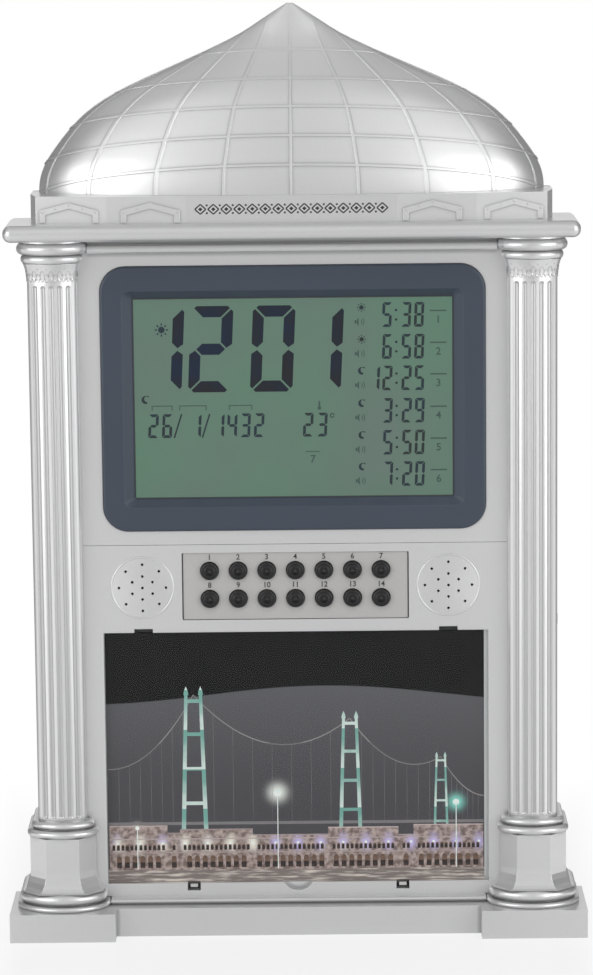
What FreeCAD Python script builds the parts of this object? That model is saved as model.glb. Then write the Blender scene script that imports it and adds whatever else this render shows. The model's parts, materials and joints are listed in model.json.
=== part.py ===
import FreeCAD, Part

# Azan clock: a mosque-shaped desk and wall clock with two fluted columns, a ribbed ogee
# dome, a large LCD, fourteen push buttons, two loudspeakers and a pocket for a print.
# Millimetres. +Z is up, the front faces -Y, and the origin is the middle of the footprint.

import math
import os

from FreeCAD import Matrix, Vector

# ---------------------------------------------------------------- driving dimensions
FRONT_DEPTH = 36.0           # plinth front to the joint with the rear cover
COVER_DEPTH = 24.0           # joint to the back
WALL = 2.4                   # main mouldings
FULL_ROUND = 0.49            # of a thickness: an edge rounded over nearly all of it
LEAST_CORNER = 1.0
COVER_WALL = 2.2             # rear cover
SEAT_GAP = 0.15              # between pieces that are put together
RUN_GAP = 0.3                # between pieces that move

# display
WINDOW_WIDTH = 125.0
WINDOW_HEIGHT = 79.0
WINDOW_CORNER = 0.8
BEVEL_SIDE = 4.0             # slope round the window, seen from the front
BEVEL_END = 3.2
BEVEL_CORNER = 3.0
BEVEL_DEPTH = 3.0
BEZEL_SIDE = 8.5             # flat rim outside the slope
BEZEL_END = 9.5
BEZEL_CORNER = 10.0
BEZEL_PROUD = 1.4
BEZEL_ROUND = 0.9
BEZEL_LEDGE = 2.0            # hidden flange behind the panel
BEZEL_LEDGE_THICK = 1.5
BEZEL_GAP_BELOW = 5.7        # seam to the lower edge of the bezel
BEZEL_GAP_ABOVE = 5.4        # upper edge of the bezel to the header
GLASS_MARGIN = 3.0
GLASS_THICK = 2.8
HOLDER_WALL = 1.8
HOLDER_ROOM = 1.0            # glass to holder
HOLDER_DEPTH = 4.0
BOARD_THICK = 1.6
STRIP_WIDTH = 2.4            # elastomer strips between glass and board
STRIP_END = 6.5              # strip end in from the edge of the glass
CHIP_RADIUS = 11.5           # glob of resin on the main board
CHIP_HEIGHT = 2.0
CRYSTAL_X = 28.0
CRYSTAL_DROP = 14.5
CRYSTAL_LENGTH = 8.0
CRYSTAL_THICK = 3.0

# picture pocket
PRINT_WIDTH = 149.8
PRINT_HEIGHT = 101.4
PRINT_THICK = 0.4
PRINT_ROOM = 2.0             # pocket wider than the print
PRINT_HEADROOM = 0.6
POCKET_MARGIN = 5.1          # base bead to the pocket
POCKET_WALL = 1.8
POCKET_DEPTH = 3.2
SHEET_THICK = 1.5            # clear window
SHEET_SUNK = 0.1
HOOK_INSET = 15.8            # from the side of the pocket
HOOK_WIDTH = 6.8
HOOK_HEIGHT = 0.9
HOOK_THICK = 0.8
HOOK_SLOT_HEIGHT = 1.6
LATCH_INSET = 34.3
LATCH_WIDTH = 4.6
LATCH_HEIGHT = 2.3
LATCH_THICK = 1.0
LATCH_ROOT = 0.5             # latch let into the window
LATCH_SLOT_HEIGHT = 3.0
SCOOP_RADIUS = 7.0
SCOOP_DROP = 3.4

# keypad
KEY_COLUMNS = 7
KEY_ROWS = 2
KEY_PITCH_X = 11.25
KEY_PITCH_Z = 11.2
KEY_RADIUS = 3.4
KEY_PROUD = 1.3
KEY_DOME = 0.5
KEY_FLANGE_WIDTH = 1.0
KEY_FLANGE_THICK = 0.8
KEY_STEM_RADIUS = 1.5
KEY_STEM_LENGTH = 1.0
KEY_TRAVEL = 1.2
KEY_RISE = 0.5               # middle of the keys above the middle of their plate
KEY_SIDE_MARGIN = 10.75      # outer keys to the ends of the plate
KEY_END_MARGIN = 7.7
KEY_PLATE_CORNER = 0.4
KEY_PLATE_MARGIN = 5.0       # pocket to the label plate
KEY_PLATE_SUNK = 0.8
KEY_PLATE_LEDGE = 1.4
KEY_PLATE_LEDGE_THICK = 1.0
SEAM_MARGIN = 3.4            # label plate to the seam between the panels
SWITCH_SIDE = 6.0
SWITCH_HEIGHT = 2.6
SWITCH_PLUNGER_RADIUS = 1.7
SWITCH_PLUNGER_HEIGHT = 0.9
KEY_BOARD_MARGIN = 1.5
KEY_POST_RADIUS = 1.9
KEY_POST_INSET = 3.0         # post in from the end of the label plate
RIBBON_HALF = 12.0
RIBBON_THICK = 0.8
RIBBON_BOW = 2.0             # clear of the boards
RIBBON_TAIL = 3.0
RIBBON_BEND = 4.0
RIBBON_LOW_INSET = 4.0       # from the top of the label plate
RIBBON_HIGH_INSET = 14.0     # from the foot of the bezel

# loudspeakers
SPEAKER_GAP = 3.6            # label plate to the grille
SPEAKER_DROP = 0.2           # below the middle of the label plate
GRILLE_RADIUS = 12.1
GRILLE_DOME = 0.7
GRILLE_RIM_THICK = 1.0
GRILLE_HOLE_RADIUS = 0.55
GRILLE_INNER_COUNT = 6
GRILLE_INNER_RADIUS = 4.6
GRILLE_INNER_TURN = 30.0
GRILLE_OUTER_COUNT = 8
GRILLE_OUTER_RADIUS = 9.25
SPEAKER_LEDGE = 1.9          # frame past the grille
SPEAKER_RIM = 0.9
SPEAKER_RIM_WIDTH = 2.6
SPEAKER_DEPTH = 8.0
BASKET_WALL = 1.4
BASKET_STEP = 0.6
MAGNET_RADIUS = 6.5
MAGNET_HEIGHT = 4.0
CONE_THICK = 0.4
CONE_SUNK = 0.2
CONE_DEPTH = 1.6
DUST_CAP_RADIUS = 3.0
CUP_WALL = 1.2
CUP_DEPTH = 3.0

# columns; a ring is (how far it stands past the shaft, height, depth of its swell)
SHAFT_RADIUS = 9.65          # half the shaft's width
SHAFT_BOW = 13.6             # radius of its bowed front
SHAFT_CORNER = 2.5           # radius of its corners
SHAFT_GAP = 0.3              # shaft to the edge of the panels
COLUMN_WALL = 3.25
FLUTES = 5
FLUTE_PITCH = 3.35           # along the bowed front
FLUTE_RADIUS = 1.3
FLUTE_DEPTH = 0.6
FLUTE_END = 0.8              # plain shaft left at each end of a flute
THIN_TORUS = (8.85, 2.1, 1.1)
FOOT_TORUS = (7.75, 4.8, 1.8)
PEDESTAL_OUT = 3.35          # flat of the pedestal past the shaft
PEDESTAL_FLARE = 3.0
PEDESTAL_CHAMFER = 6.4
PEDESTAL_HEIGHT = 21.8
FLARE_HEIGHT = 8.2
FLARE_STEPS = 5
LOWER_RING = (4.45, 3.1, 1.3)
UPPER_RING = (2.75, 3.1, 1.2)
BELL_OUT = 1.55
BELL_HEIGHT = 7.4
BELL_BEND = (0.3, 0.6)       # a point on the bell's curve, in shares of its swell and height
NECK_TORUS = (2.35, 3.6, 1.1)
CAP_TORUS = (3.95, 4.5, 1.6)
ABACUS_OUT = 2.75
ABACUS_HEIGHT = 1.0

# storeys, from the ground up
PLINTH_HEIGHT = 11.3
PLINTH_MARGIN = 2.35         # plinth past its column, at the sides
PLINTH_LIP = 1.5             # and in front
BASE_SETBACK = 8.2           # base block front behind the plinth front
BASE_BEAD = 2.2              # half-round bead on top of the base block
BASE_BEAD_OUT = 5.0          # in front of the panels
FACE_MARGIN = 7.3            # pocket to the edge of the panels
PANEL_AHEAD = 1.0            # panels in front of the column axes
PANEL_THICK = 2.5
WING_SETBACK = 5.5           # wall behind each column, in front of the joint
BODY_OUT = 7.85              # sides of the housing outside the column axes
HEADER_BEAD = 3.4
HEADER_BEAD_OUT = 4.4
HEADER_COVE = 2.4
HEADER_COVE_OUT = 7.0
HEADER_COVE_BEND = (0.37, 0.62)  # a point on the cove's curve, in shares of its depth and height
SLAB_HEIGHT = 6.5
SLAB_OVERHANG = 4.4          # past the capital, at the sides and in front
SLAB_ROUND = 3.0

# frieze: its half plan as (past the dome's foot, setback from its front)
FRIEZE_HEIGHT = 10.5
FRIEZE_SETBACK = 5.5         # behind the slab's front
FRIEZE_PLAN = ((-58.1, 0.0), (-27.5, 2.0), (0.0, 5.0), (2.6, 16.0))
PEDIMENT_WIDTH = 22.8
PEDIMENT_PEAK = 7.6
PEDIMENT_EAVE = 4.6
PEDIMENT_BAND = 2.1
PEDIMENT_RELIEF = 0.4
PEDIMENT_ROOT = 0.5          # how far a gable is let into the band
PEDIMENT_RISE = 0.4          # gable above the slab
PEDIMENT_SHIFT = (-1.6, 0.8)  # off the middle of its facet, outwards
PEDIMENT_EAVE_INSET = 0.8    # how much of an inset the eave moves down
DOME_END_SLOPE = (-0.6, 0.5)  # direction of the outline at the tip, in shares of half width and height

# dome; its curve is (share of the half-width, share of the height)
DOME_HEIGHT = 72.1
DOME_INSET = 2.3             # foot of the dome in from the sides of the housing
DOME_SETBACK = 0.5           # swell of the dome behind the frieze's front
DOME_CURVE = ((0.934, 0.234), (0.823, 0.407), (0.633, 0.569), (0.418, 0.698), (0.194, 0.842))
DOME_TIP = 0.012
RIB_WIDTH = 0.8
RIB_RELIEF = 0.4
RIB_LEVELS = 5
RIB_FIRST = -2.9             # lowest ring of ribs at the joint, from the dome's foot
RIB_PITCH = 13.75
RIB_SLOPE = 0.53             # rise towards the front of the lowest ring
RIB_SLOPE_STEP = 0.054
RIB_FEET = (0.262, 0.528, 0.791, 0.965)      # share of the half-width at the foot
RIB_HEAD_PITCH = 7.4         # between the upright ribs where they meet the joint
RIB_END = 4.0                # upright ribs stop below the tip

# rear cover
COVER_TAPER = 3.0
COVER_CORNER = 8.0
KEYHOLE_X = 45.0
KEYHOLE_DROP = 30.9          # below the slab
KEYHOLE_ENTRY = 4.5
KEYHOLE_SLOT = 2.3
KEYHOLE_RISE = 10.0
DOOR_Z = 46.0                # lower edge
DOOR_SIDE_MARGIN = 6.8       # door past the battery well
DOOR_END_MARGIN = 4.8
DOOR_THICK = 1.8
GRIP_DEPTH = 0.72
DOOR_LIP = 1.6
GRIP_COUNT = 3
GRIP_HALF = 9.0
GRIP_WIDTH = 1.5
GRIP_PITCH = 3.0
GRIP_INSET = 3.5
CELL_RADIUS = 7.15
CELL_LENGTH = 49.0
CELL_NUB_RADIUS = 2.7
CELL_NUB_LENGTH = 1.4
CELL_GAP = 0.6
WELL_WALL = 1.4
CONTACT_THICK = 0.5
CONTACT_HALF = 4.0
SPRING_TURNS = 4
SPRING_WIRE = 0.35
SPRING_BITE = 0.035          # of the first coil into its plate
SPRING_RADIUS = 3.2
SPRING_LENGTH = 5.0

# side switch
TOGGLE_DROP = 34.9           # below the seam
TOGGLE_BACK = 4.5            # behind the joint
TOGGLE_WIDTH = 2.6
TOGGLE_HEIGHT = 4.2
TOGGLE_PROUD = 3.4
TOGGLE_TRAVEL = 3.0
TOGGLE_ROOT = 1.0            # knob inside the switch
TOGGLE_BODY_WIDTH = 4.6
TOGGLE_BODY_DEPTH = 5.4
TOGGLE_BODY_HEIGHT = 13.0
CRADLE_WALL = 1.2
CRADLE_FLOOR = 1.2

# screws
SCREW_RADIUS = 1.25
SCREW_HEAD_RADIUS = 2.6
SCREW_HEAD_HEIGHT = 1.8
SCREW_HEAD_ROOM = 0.4
SCREW_LENGTH = 10.0
SCREW_CLEARANCE = 0.1
POST_RADIUS = 4.2
BOSS_RADIUS = 3.4
BOSS_SKIN = 0.7              # solid end of a boss
COVER_SCREW_INSET = 10.0     # from the sides of the housing
COVER_SCREW_RISE = 15.7      # above the plinth
COVER_SCREW_DROP = 14.9      # below the slab
COLUMN_SCREW_LENGTH = 8.0
COLUMN_SCREW_RISE = 22.7
COLUMN_SCREW_DROP = 6.9
BOARD_SCREW_LENGTH = 5.0

# ---------------------------------------------------------------- places worked out
FRONT_Y = -(FRONT_DEPTH + COVER_DEPTH) / 2
BACK_Y = -FRONT_Y
PARTING_Y = FRONT_Y + FRONT_DEPTH

# across the front
BEVEL_WIDTH = WINDOW_WIDTH + 2 * BEVEL_SIDE
BEZEL_WIDTH = BEVEL_WIDTH + 2 * BEZEL_SIDE
GLASS_WIDTH = WINDOW_WIDTH + 2 * GLASS_MARGIN
HOLDER_WIDTH = GLASS_WIDTH + 2 * HOLDER_WALL + 2 * HOLDER_ROOM
POCKET_WIDTH = PRINT_WIDTH + PRINT_ROOM
KEY_PLATE_WIDTH = (KEY_COLUMNS - 1) * KEY_PITCH_X + 2 * KEY_SIDE_MARGIN
KEY_POST_X = KEY_PLATE_WIDTH / 2 - KEY_POST_INSET
SPEAKER_RADIUS = GRILLE_RADIUS + SPEAKER_LEDGE
SPEAKER_X = KEY_PLATE_WIDTH / 2 + SPEAKER_GAP + GRILLE_RADIUS
FACE_HALF = max(BEZEL_WIDTH / 2, POCKET_WIDTH / 2, SPEAKER_X + SPEAKER_RADIUS)
PANEL_HALF = FACE_HALF + FACE_MARGIN
HOOK_X = POCKET_WIDTH / 2 - HOOK_INSET
LATCH_X = POCKET_WIDTH / 2 - LATCH_INSET
THIN_TORUS_RADIUS = SHAFT_RADIUS + THIN_TORUS[0]
CAP_RADIUS = SHAFT_RADIUS + CAP_TORUS[0]
COLUMN_X = PANEL_HALF + SHAFT_GAP + SHAFT_RADIUS
PLINTH_WIDTH = 2 * (THIN_TORUS_RADIUS + PLINTH_MARGIN)
HALF_WIDTH = COLUMN_X + PLINTH_WIDTH / 2
BODY_HALF = COLUMN_X + BODY_OUT
SLAB_HALF = COLUMN_X + CAP_RADIUS + SLAB_OVERHANG
DOME_HALF = BODY_HALF - DOME_INSET
FRIEZE_HALF = DOME_HALF + FRIEZE_PLAN[-1][0]
COVER_SCREW_X = BODY_HALF - COVER_SCREW_INSET

# up the front
BEVEL_HEIGHT = WINDOW_HEIGHT + 2 * BEVEL_END
BEZEL_HEIGHT = BEVEL_HEIGHT + 2 * BEZEL_END
GLASS_HEIGHT = WINDOW_HEIGHT + 2 * GLASS_MARGIN
HOLDER_HEIGHT = GLASS_HEIGHT + 2 * HOLDER_WALL + 2 * HOLDER_ROOM
PANEL_BOTTOM = PLINTH_HEIGHT + BASE_BEAD
POCKET_Z = PANEL_BOTTOM + POCKET_MARGIN
POCKET_TOP = POCKET_Z + PRINT_HEIGHT + PRINT_HEADROOM
KEY_PLATE_HEIGHT = (KEY_ROWS - 1) * KEY_PITCH_Z + 2 * KEY_END_MARGIN
KEY_PLATE_Z = POCKET_TOP + KEY_PLATE_MARGIN + KEY_PLATE_HEIGHT / 2
KEY_MID_Z = KEY_PLATE_Z + KEY_RISE
SPEAKER_Z = KEY_PLATE_Z - SPEAKER_DROP
SEAM_Z = KEY_PLATE_Z + KEY_PLATE_HEIGHT / 2 + SEAM_MARGIN
BEZEL_Z = SEAM_Z + BEZEL_GAP_BELOW + BEZEL_HEIGHT / 2
HEADER_Z = BEZEL_Z + BEZEL_HEIGHT / 2 + BEZEL_GAP_ABOVE
SLAB_Z = HEADER_Z + HEADER_BEAD + HEADER_COVE
FRIEZE_Z = SLAB_Z + SLAB_HEIGHT
DOME_Z = FRIEZE_Z + FRIEZE_HEIGHT
DOME_TOP = DOME_Z + DOME_HEIGHT
KEYHOLE_Z = SLAB_Z - KEYHOLE_DROP
TOGGLE_Z = SEAM_Z - TOGGLE_DROP
COVER_SCREW_LOW = PLINTH_HEIGHT + COVER_SCREW_RISE
COVER_SCREW_HIGH = SLAB_Z - COVER_SCREW_DROP
COVER_SCREW_Z = (COVER_SCREW_LOW, (COVER_SCREW_LOW + COVER_SCREW_HIGH) / 2, COVER_SCREW_HIGH)
COLUMN_SCREW_Z = (PLINTH_HEIGHT + COLUMN_SCREW_RISE, SLAB_Z - COLUMN_SCREW_DROP)

# front to back
BASE_FRONT = FRONT_Y + BASE_SETBACK
COLUMN_AXIS_Y = FRONT_Y + PLINTH_LIP + THIN_TORUS_RADIUS
PANEL_Y = COLUMN_AXIS_Y - PANEL_AHEAD
PANEL_BACK = PANEL_Y + PANEL_THICK
WING_Y = PARTING_Y - WING_SETBACK
SHAFT_BORE = min(SHAFT_RADIUS, WING_Y - COLUMN_AXIS_Y) - COLUMN_WALL
SLAB_FRONT = COLUMN_AXIS_Y - CAP_RADIUS - SLAB_OVERHANG
FRIEZE_FRONT = SLAB_FRONT + FRIEZE_SETBACK
DOME_BULGE = PARTING_Y - FRIEZE_FRONT - DOME_SETBACK
BEZEL_FRONT = PANEL_Y - BEZEL_PROUD
BEZEL_LEDGE_BACK = PANEL_BACK + BEZEL_LEDGE_THICK
GLASS_FRONT = BEZEL_FRONT + BEVEL_DEPTH
GLASS_BACK = GLASS_FRONT + GLASS_THICK
MAIN_BOARD_Y = GLASS_BACK + HOLDER_DEPTH
MAIN_BOARD_BACK = MAIN_BOARD_Y + BOARD_THICK
SHEET_FRONT = PANEL_Y + SHEET_SUNK
SHEET_BACK = SHEET_FRONT + SHEET_THICK
POCKET_FLOOR = PANEL_Y + POCKET_DEPTH
KEY_PLATE_FRONT = PANEL_Y + KEY_PLATE_SUNK
KEY_LEDGE_BACK = PANEL_BACK + KEY_PLATE_LEDGE_THICK
KEY_FRONT = PANEL_Y - KEY_PROUD
KEY_FLANGE_FRONT = KEY_LEDGE_BACK + RUN_GAP
KEY_FLANGE_BACK = KEY_FLANGE_FRONT + KEY_FLANGE_THICK
KEY_STEM_BACK = KEY_FLANGE_BACK + KEY_STEM_LENGTH
PLUNGER_FRONT = KEY_STEM_BACK + KEY_TRAVEL + RUN_GAP
SWITCH_FRONT = PLUNGER_FRONT + SWITCH_PLUNGER_HEIGHT
KEY_BOARD_Y = SWITCH_FRONT + SWITCH_HEIGHT
KEY_BOARD_BACK = KEY_BOARD_Y + BOARD_THICK
COVER_SCREW_TIP = WING_Y + BOSS_SKIN
COVER_SCREW_SEAT = COVER_SCREW_TIP + SCREW_LENGTH
TOGGLE_Y = PARTING_Y + TOGGLE_BACK
TOGGLE_FACE = BODY_HALF - COVER_TAPER - COVER_WALL - CRADLE_FLOOR
CRADLE_ROOT = BODY_HALF - COVER_WALL

# battery well
WELL_WIDTH = CELL_LENGTH + CELL_NUB_LENGTH + SPRING_LENGTH + 2 * CONTACT_THICK
WELL_HEIGHT = 4 * CELL_RADIUS + 3 * CELL_GAP
WELL_DEPTH = 2 * CELL_RADIUS + CELL_GAP
DOOR_WIDTH = WELL_WIDTH + 2 * DOOR_SIDE_MARGIN
DOOR_HEIGHT = WELL_HEIGHT + 2 * DOOR_END_MARGIN
DOOR_TOP = DOOR_Z + DOOR_HEIGHT
WELL_Z = DOOR_Z + DOOR_HEIGHT / 2
WELL_FRONT = BACK_Y - DOOR_THICK - SEAT_GAP - WELL_DEPTH


# ---------------------------------------------------------------- helpers
def block(x0, x1, y0, y1, z0, z1):
    """A block between two corners."""
    return Part.makeBox(x1 - x0, y1 - y0, z1 - z0, Vector(x0, y0, z0))


def rod_y(x, z, y0, y1, radius):
    """A cylinder along Y."""
    return Part.makeCylinder(radius, y1 - y0, Vector(x, y0, z), Vector(0, 1, 0))


def rod_z(x, y, z0, z1, radius):
    """A cylinder along Z."""
    return Part.makeCylinder(radius, z1 - z0, Vector(x, y, z0))


def rounded_plate(width, height, corner, y0, y1, mid_z, mid_x=0.0):
    """A plate facing the front, with round corners."""
    plate = block(mid_x - width / 2, mid_x + width / 2, y0, y1, mid_z - height / 2, mid_z + height / 2)
    edges = [edge for edge in plate.Edges if abs(edge.tangentAt(edge.FirstParameter).y) > 0.99]
    return plate.makeFillet(corner, edges)


def rounded_wire(width, height, corner, y, mid_z):
    """The outline of a rounded rectangle in the plane at y."""
    depth = corner
    plate = rounded_plate(width, height, corner, y, y + depth, mid_z)
    face = min(plate.Faces, key=lambda item: item.CenterOfMass.y)
    return face.OuterWire


def prism_z(points, z0, z1):
    """A polygon in plan, extruded upwards."""
    corners = [Vector(x, y, z0) for x, y in points]
    return Part.Face(Part.makePolygon(corners + corners[:1])).extrude(Vector(0, 0, z1 - z0))


def prism_x(points, x0, x1):
    """A polygon of (y, z) points, extruded along X."""
    corners = [Vector(x0, y, z) for y, z in points]
    return Part.Face(Part.makePolygon(corners + corners[:1])).extrude(Vector(x1 - x0, 0, 0))


def fused(shapes):
    """All the shapes as one solid, with merged faces."""
    first = shapes[0]
    if len(shapes) == 1:
        return first
    return first.fuse(shapes[1:]).removeSplitter()


def mirrored(shape):
    """The same shape on the other side of the clock."""
    return shape.mirror(Vector(0, 0, 0), Vector(1, 0, 0))


def line(a, b):
    """A straight edge between two points."""
    return Part.LineSegment(a, b).toShape()


def arc(a, middle, b):
    """A round edge through three points."""
    return Part.Arc(a, middle, b).toShape()


def screw(x, z, tip_y, length):
    """A pan-head screw driven towards the front, with its tip at tip_y."""
    seat = tip_y + length
    shank = rod_y(x, z, tip_y, seat, SCREW_RADIUS)
    return shank.fuse(rod_y(x, z, seat, seat + SCREW_HEAD_HEIGHT, SCREW_HEAD_RADIUS))


def screw_hole(x, z, tip_y, seat_y):
    """The hole that such a screw goes into."""
    return rod_y(x, z, tip_y, seat_y, SCREW_RADIUS + SCREW_CLEARANCE)


def capped_rod(x, z, y0, y1, radius, rise):
    """A short cylinder along Y whose front or back end, at y1, is a shallow dome."""
    sphere_radius = (radius ** 2 + rise ** 2) / (2 * rise)
    outward = 1 if y1 > y0 else -1
    sphere = Part.makeSphere(sphere_radius, Vector(x, y1 - outward * sphere_radius, z))
    return rod_y(x, z, min(y0, y1), max(y0, y1), radius).common(sphere)


# ---------------------------------------------------------------- columns
def torus_profile(radius, ring, z0):
    """The outward arc of one ring moulding on a shaft of some radius, from its foot up."""
    out, height, swell = ring
    outer = radius + out
    foot = Vector(outer - swell, 0, z0)
    middle = Vector(outer, 0, z0 + height / 2)
    top = Vector(outer - swell, 0, z0 + height)
    return arc(foot, middle, top)


def half_section(edges, z0, z1):
    """Half the section of a turned piece: its outline edges, closed on the axis."""
    first = edges[0].Vertexes[0].Point
    last = edges[-1].Vertexes[-1].Point
    closing = [line(Vector(0, 0, z0), first)]
    closing.extend(edges)
    closing.append(line(last, Vector(0, 0, z1)))
    closing.append(line(Vector(0, 0, z1), Vector(0, 0, z0)))
    return Part.Face(Part.Wire(closing))


def sector(section, centre, first, sweep):
    """A section turned about an upright axis, from one direction through some degrees."""
    face = section.copy()
    face.rotate(Vector(0, 0, 0), Vector(0, 0, 1), first)
    solid = face.revolve(Vector(0, 0, 0), Vector(0, 0, 1), sweep)
    solid.translate(centre)
    return solid


def shaft_like(outline, z0, z1):
    """A moulded length of column: bowed front, round corners and straight sides that run back."""
    bow_turn = math.degrees(math.asin((SHAFT_RADIUS - SHAFT_CORNER) / (SHAFT_BOW - SHAFT_CORNER)))
    bow_centre = Vector(0, SHAFT_BOW - SHAFT_RADIUS, 0)
    corner_y = bow_centre.y - (SHAFT_BOW - SHAFT_CORNER) * math.cos(math.radians(bow_turn))
    corner_centre = Vector(SHAFT_RADIUS - SHAFT_CORNER, corner_y, 0)
    bow = sector(half_section(outline(SHAFT_BOW), z0, z1), bow_centre, -90 - bow_turn, 2 * bow_turn)
    corner = sector(half_section(outline(SHAFT_CORNER), z0, z1), corner_centre, bow_turn - 90, 90 - bow_turn)
    side = half_section(outline(SHAFT_RADIUS), z0, z1)
    side.translate(Vector(0, corner_y, 0))
    side = side.extrude(Vector(0, PARTING_Y - COLUMN_AXIS_Y - corner_y, 0))
    return fused([bow, corner, mirrored(corner), side, mirrored(side)])


def chained(edges):
    """The edges joined by straight steps wherever their ends differ."""
    chain = [edges[0]]
    for edge in edges[1:]:
        end = chain[-1].Vertexes[-1].Point
        start = edge.Vertexes[0].Point
        if end.distanceToPoint(start) > 1e-6:
            chain.append(line(end, start))
        chain.append(edge)
    return chain


def pedestal_wire(half, z):
    """The pedestal's plan at one level: chamfered in front, straight at the sides."""
    flat = half - PEDESTAL_CHAMFER
    back = PARTING_Y - COLUMN_AXIS_Y
    corners = [(-flat, -half), (flat, -half), (half, -flat), (half, back), (-half, back), (-half, -flat)]
    points = [Vector(x, y, z) for x, y in corners]
    return Part.makePolygon(points + points[:1])


def pedestal(z0):
    """A chamfered block that flares towards its foot."""
    plain = SHAFT_RADIUS + PEDESTAL_OUT
    wires = []
    for step in range(FLARE_STEPS + 1):
        turn = math.radians(90.0 * step / FLARE_STEPS)
        half = plain + PEDESTAL_FLARE * (1 - math.sin(turn))
        wires.append(pedestal_wire(half, z0 + FLARE_HEIGHT * (1 - math.cos(turn))))
    wires.append(pedestal_wire(plain, z0 + PEDESTAL_HEIGHT))
    return Part.makeLoft(wires, True, True)


def column_levels():
    """The level of each storey of a column, from the plinth to the slab."""
    levels = {"thin": PLINTH_HEIGHT}
    levels["foot"] = levels["thin"] + THIN_TORUS[1]
    levels["pedestal"] = levels["foot"] + FOOT_TORUS[1]
    levels["lower_ring"] = levels["pedestal"] + PEDESTAL_HEIGHT
    levels["upper_ring"] = levels["lower_ring"] + LOWER_RING[1]
    levels["shaft"] = levels["upper_ring"] + UPPER_RING[1]
    levels["abacus"] = SLAB_Z - ABACUS_HEIGHT
    levels["cap"] = levels["abacus"] - CAP_TORUS[1]
    levels["neck"] = levels["cap"] - NECK_TORUS[1]
    levels["bell"] = levels["neck"] - BELL_HEIGHT
    return levels


def flutes(z0, z1):
    """The grooves down the bowed front, each with round ends."""
    offset = SHAFT_BOW - FLUTE_DEPTH + FLUTE_RADIUS
    grooves = []
    for index in range(FLUTES):
        turn = (index - (FLUTES - 1) / 2) * FLUTE_PITCH / SHAFT_BOW
        x = offset * math.sin(turn)
        y = SHAFT_BOW - SHAFT_RADIUS - offset * math.cos(turn)
        grooves.append(rod_z(x, y, z0 + FLUTE_RADIUS, z1 - FLUTE_RADIUS, FLUTE_RADIUS))
        grooves.append(Part.makeSphere(FLUTE_RADIUS, Vector(x, y, z0 + FLUTE_RADIUS)))
        grooves.append(Part.makeSphere(FLUTE_RADIUS, Vector(x, y, z1 - FLUTE_RADIUS)))
    return grooves


def foot_outline(radius):
    """The two rings under the pedestal, on a shaft of some radius."""
    level = column_levels()
    thin = torus_profile(radius, THIN_TORUS, level["thin"])
    foot = torus_profile(radius, FOOT_TORUS, level["foot"])
    return chained([thin, foot])


def shaft_outline(radius):
    """Everything above the pedestal, on a shaft of some radius: rings, shaft, bell, capital and abacus."""
    level = column_levels()
    shaft_foot = Vector(radius, 0, level["shaft"])
    shaft_top = Vector(radius, 0, level["bell"])
    bend_out, bend_up = BELL_BEND
    bell_middle = Vector(radius + BELL_OUT * bend_out, 0, level["bell"] + BELL_HEIGHT * bend_up)
    bell_top = Vector(radius + BELL_OUT, 0, level["neck"])
    abacus = radius + ABACUS_OUT
    outline = [
        torus_profile(radius, LOWER_RING, level["lower_ring"]),
        torus_profile(radius, UPPER_RING, level["upper_ring"]),
        line(shaft_foot, shaft_top),
        arc(shaft_top, bell_middle, bell_top),
        torus_profile(radius, NECK_TORUS, level["neck"]),
        torus_profile(radius, CAP_TORUS, level["cap"]),
        line(Vector(abacus, 0, level["abacus"]), Vector(abacus, 0, SLAB_Z)),
    ]
    return chained(outline)


def column():
    """The right-hand column, flat where it meets the housing."""
    level = column_levels()
    foot = shaft_like(foot_outline, level["thin"], level["pedestal"])
    upper = shaft_like(shaft_outline, level["lower_ring"], SLAB_Z)
    upper = upper.cut(flutes(level["shaft"] + FLUTE_END, level["bell"] - FLUTE_END))
    whole = fused([foot, pedestal(level["pedestal"]), upper])
    whole = whole.cut(rod_z(0, 0, PLINTH_HEIGHT, level["bell"], SHAFT_BORE))
    whole.translate(Vector(COLUMN_X, COLUMN_AXIS_Y, 0))
    behind = block(0, BODY_HALF + SEAT_GAP, WING_Y, BACK_Y, 0, DOME_TOP)
    inside = block(0, PANEL_HALF + SEAT_GAP, PANEL_Y - SEAT_GAP, BACK_Y, 0, DOME_TOP)
    holes = [screw_hole(COLUMN_X, z, WING_Y + WALL - COLUMN_SCREW_LENGTH, WING_Y) for z in COLUMN_SCREW_Z]
    return whole.cut([behind, inside] + holes)


# ---------------------------------------------------------------- housing
def base_bead():
    """A half-round bead across the clock, its back on the panels' back plane."""
    half = PANEL_HALF
    z0 = PLINTH_HEIGHT
    z1 = z0 + BASE_BEAD
    front = PANEL_Y - BASE_BEAD_OUT
    start = front + BASE_BEAD / 2
    outline = [
        line(Vector(-half, PANEL_BACK, z0), Vector(-half, start, z0)),
        arc(Vector(-half, start, z0), Vector(-half, front, (z0 + z1) / 2), Vector(-half, start, z1)),
        line(Vector(-half, start, z1), Vector(-half, PANEL_BACK, z1)),
        line(Vector(-half, PANEL_BACK, z1), Vector(-half, PANEL_BACK, z0)),
    ]
    return Part.Face(Part.Wire(outline)).extrude(Vector(2 * half, 0, 0))


def column_envelope(out, z0, z1):
    """The room that both columns take at some level, as far out from the shaft as given."""
    def outline(radius):
        edge = radius + out + SEAT_GAP
        return [line(Vector(edge, 0, z0), Vector(edge, 0, z1))]
    right = shaft_like(outline, z0, z1)
    right.translate(Vector(COLUMN_X, COLUMN_AXIS_Y, 0))
    return [right, mirrored(right)]


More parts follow.
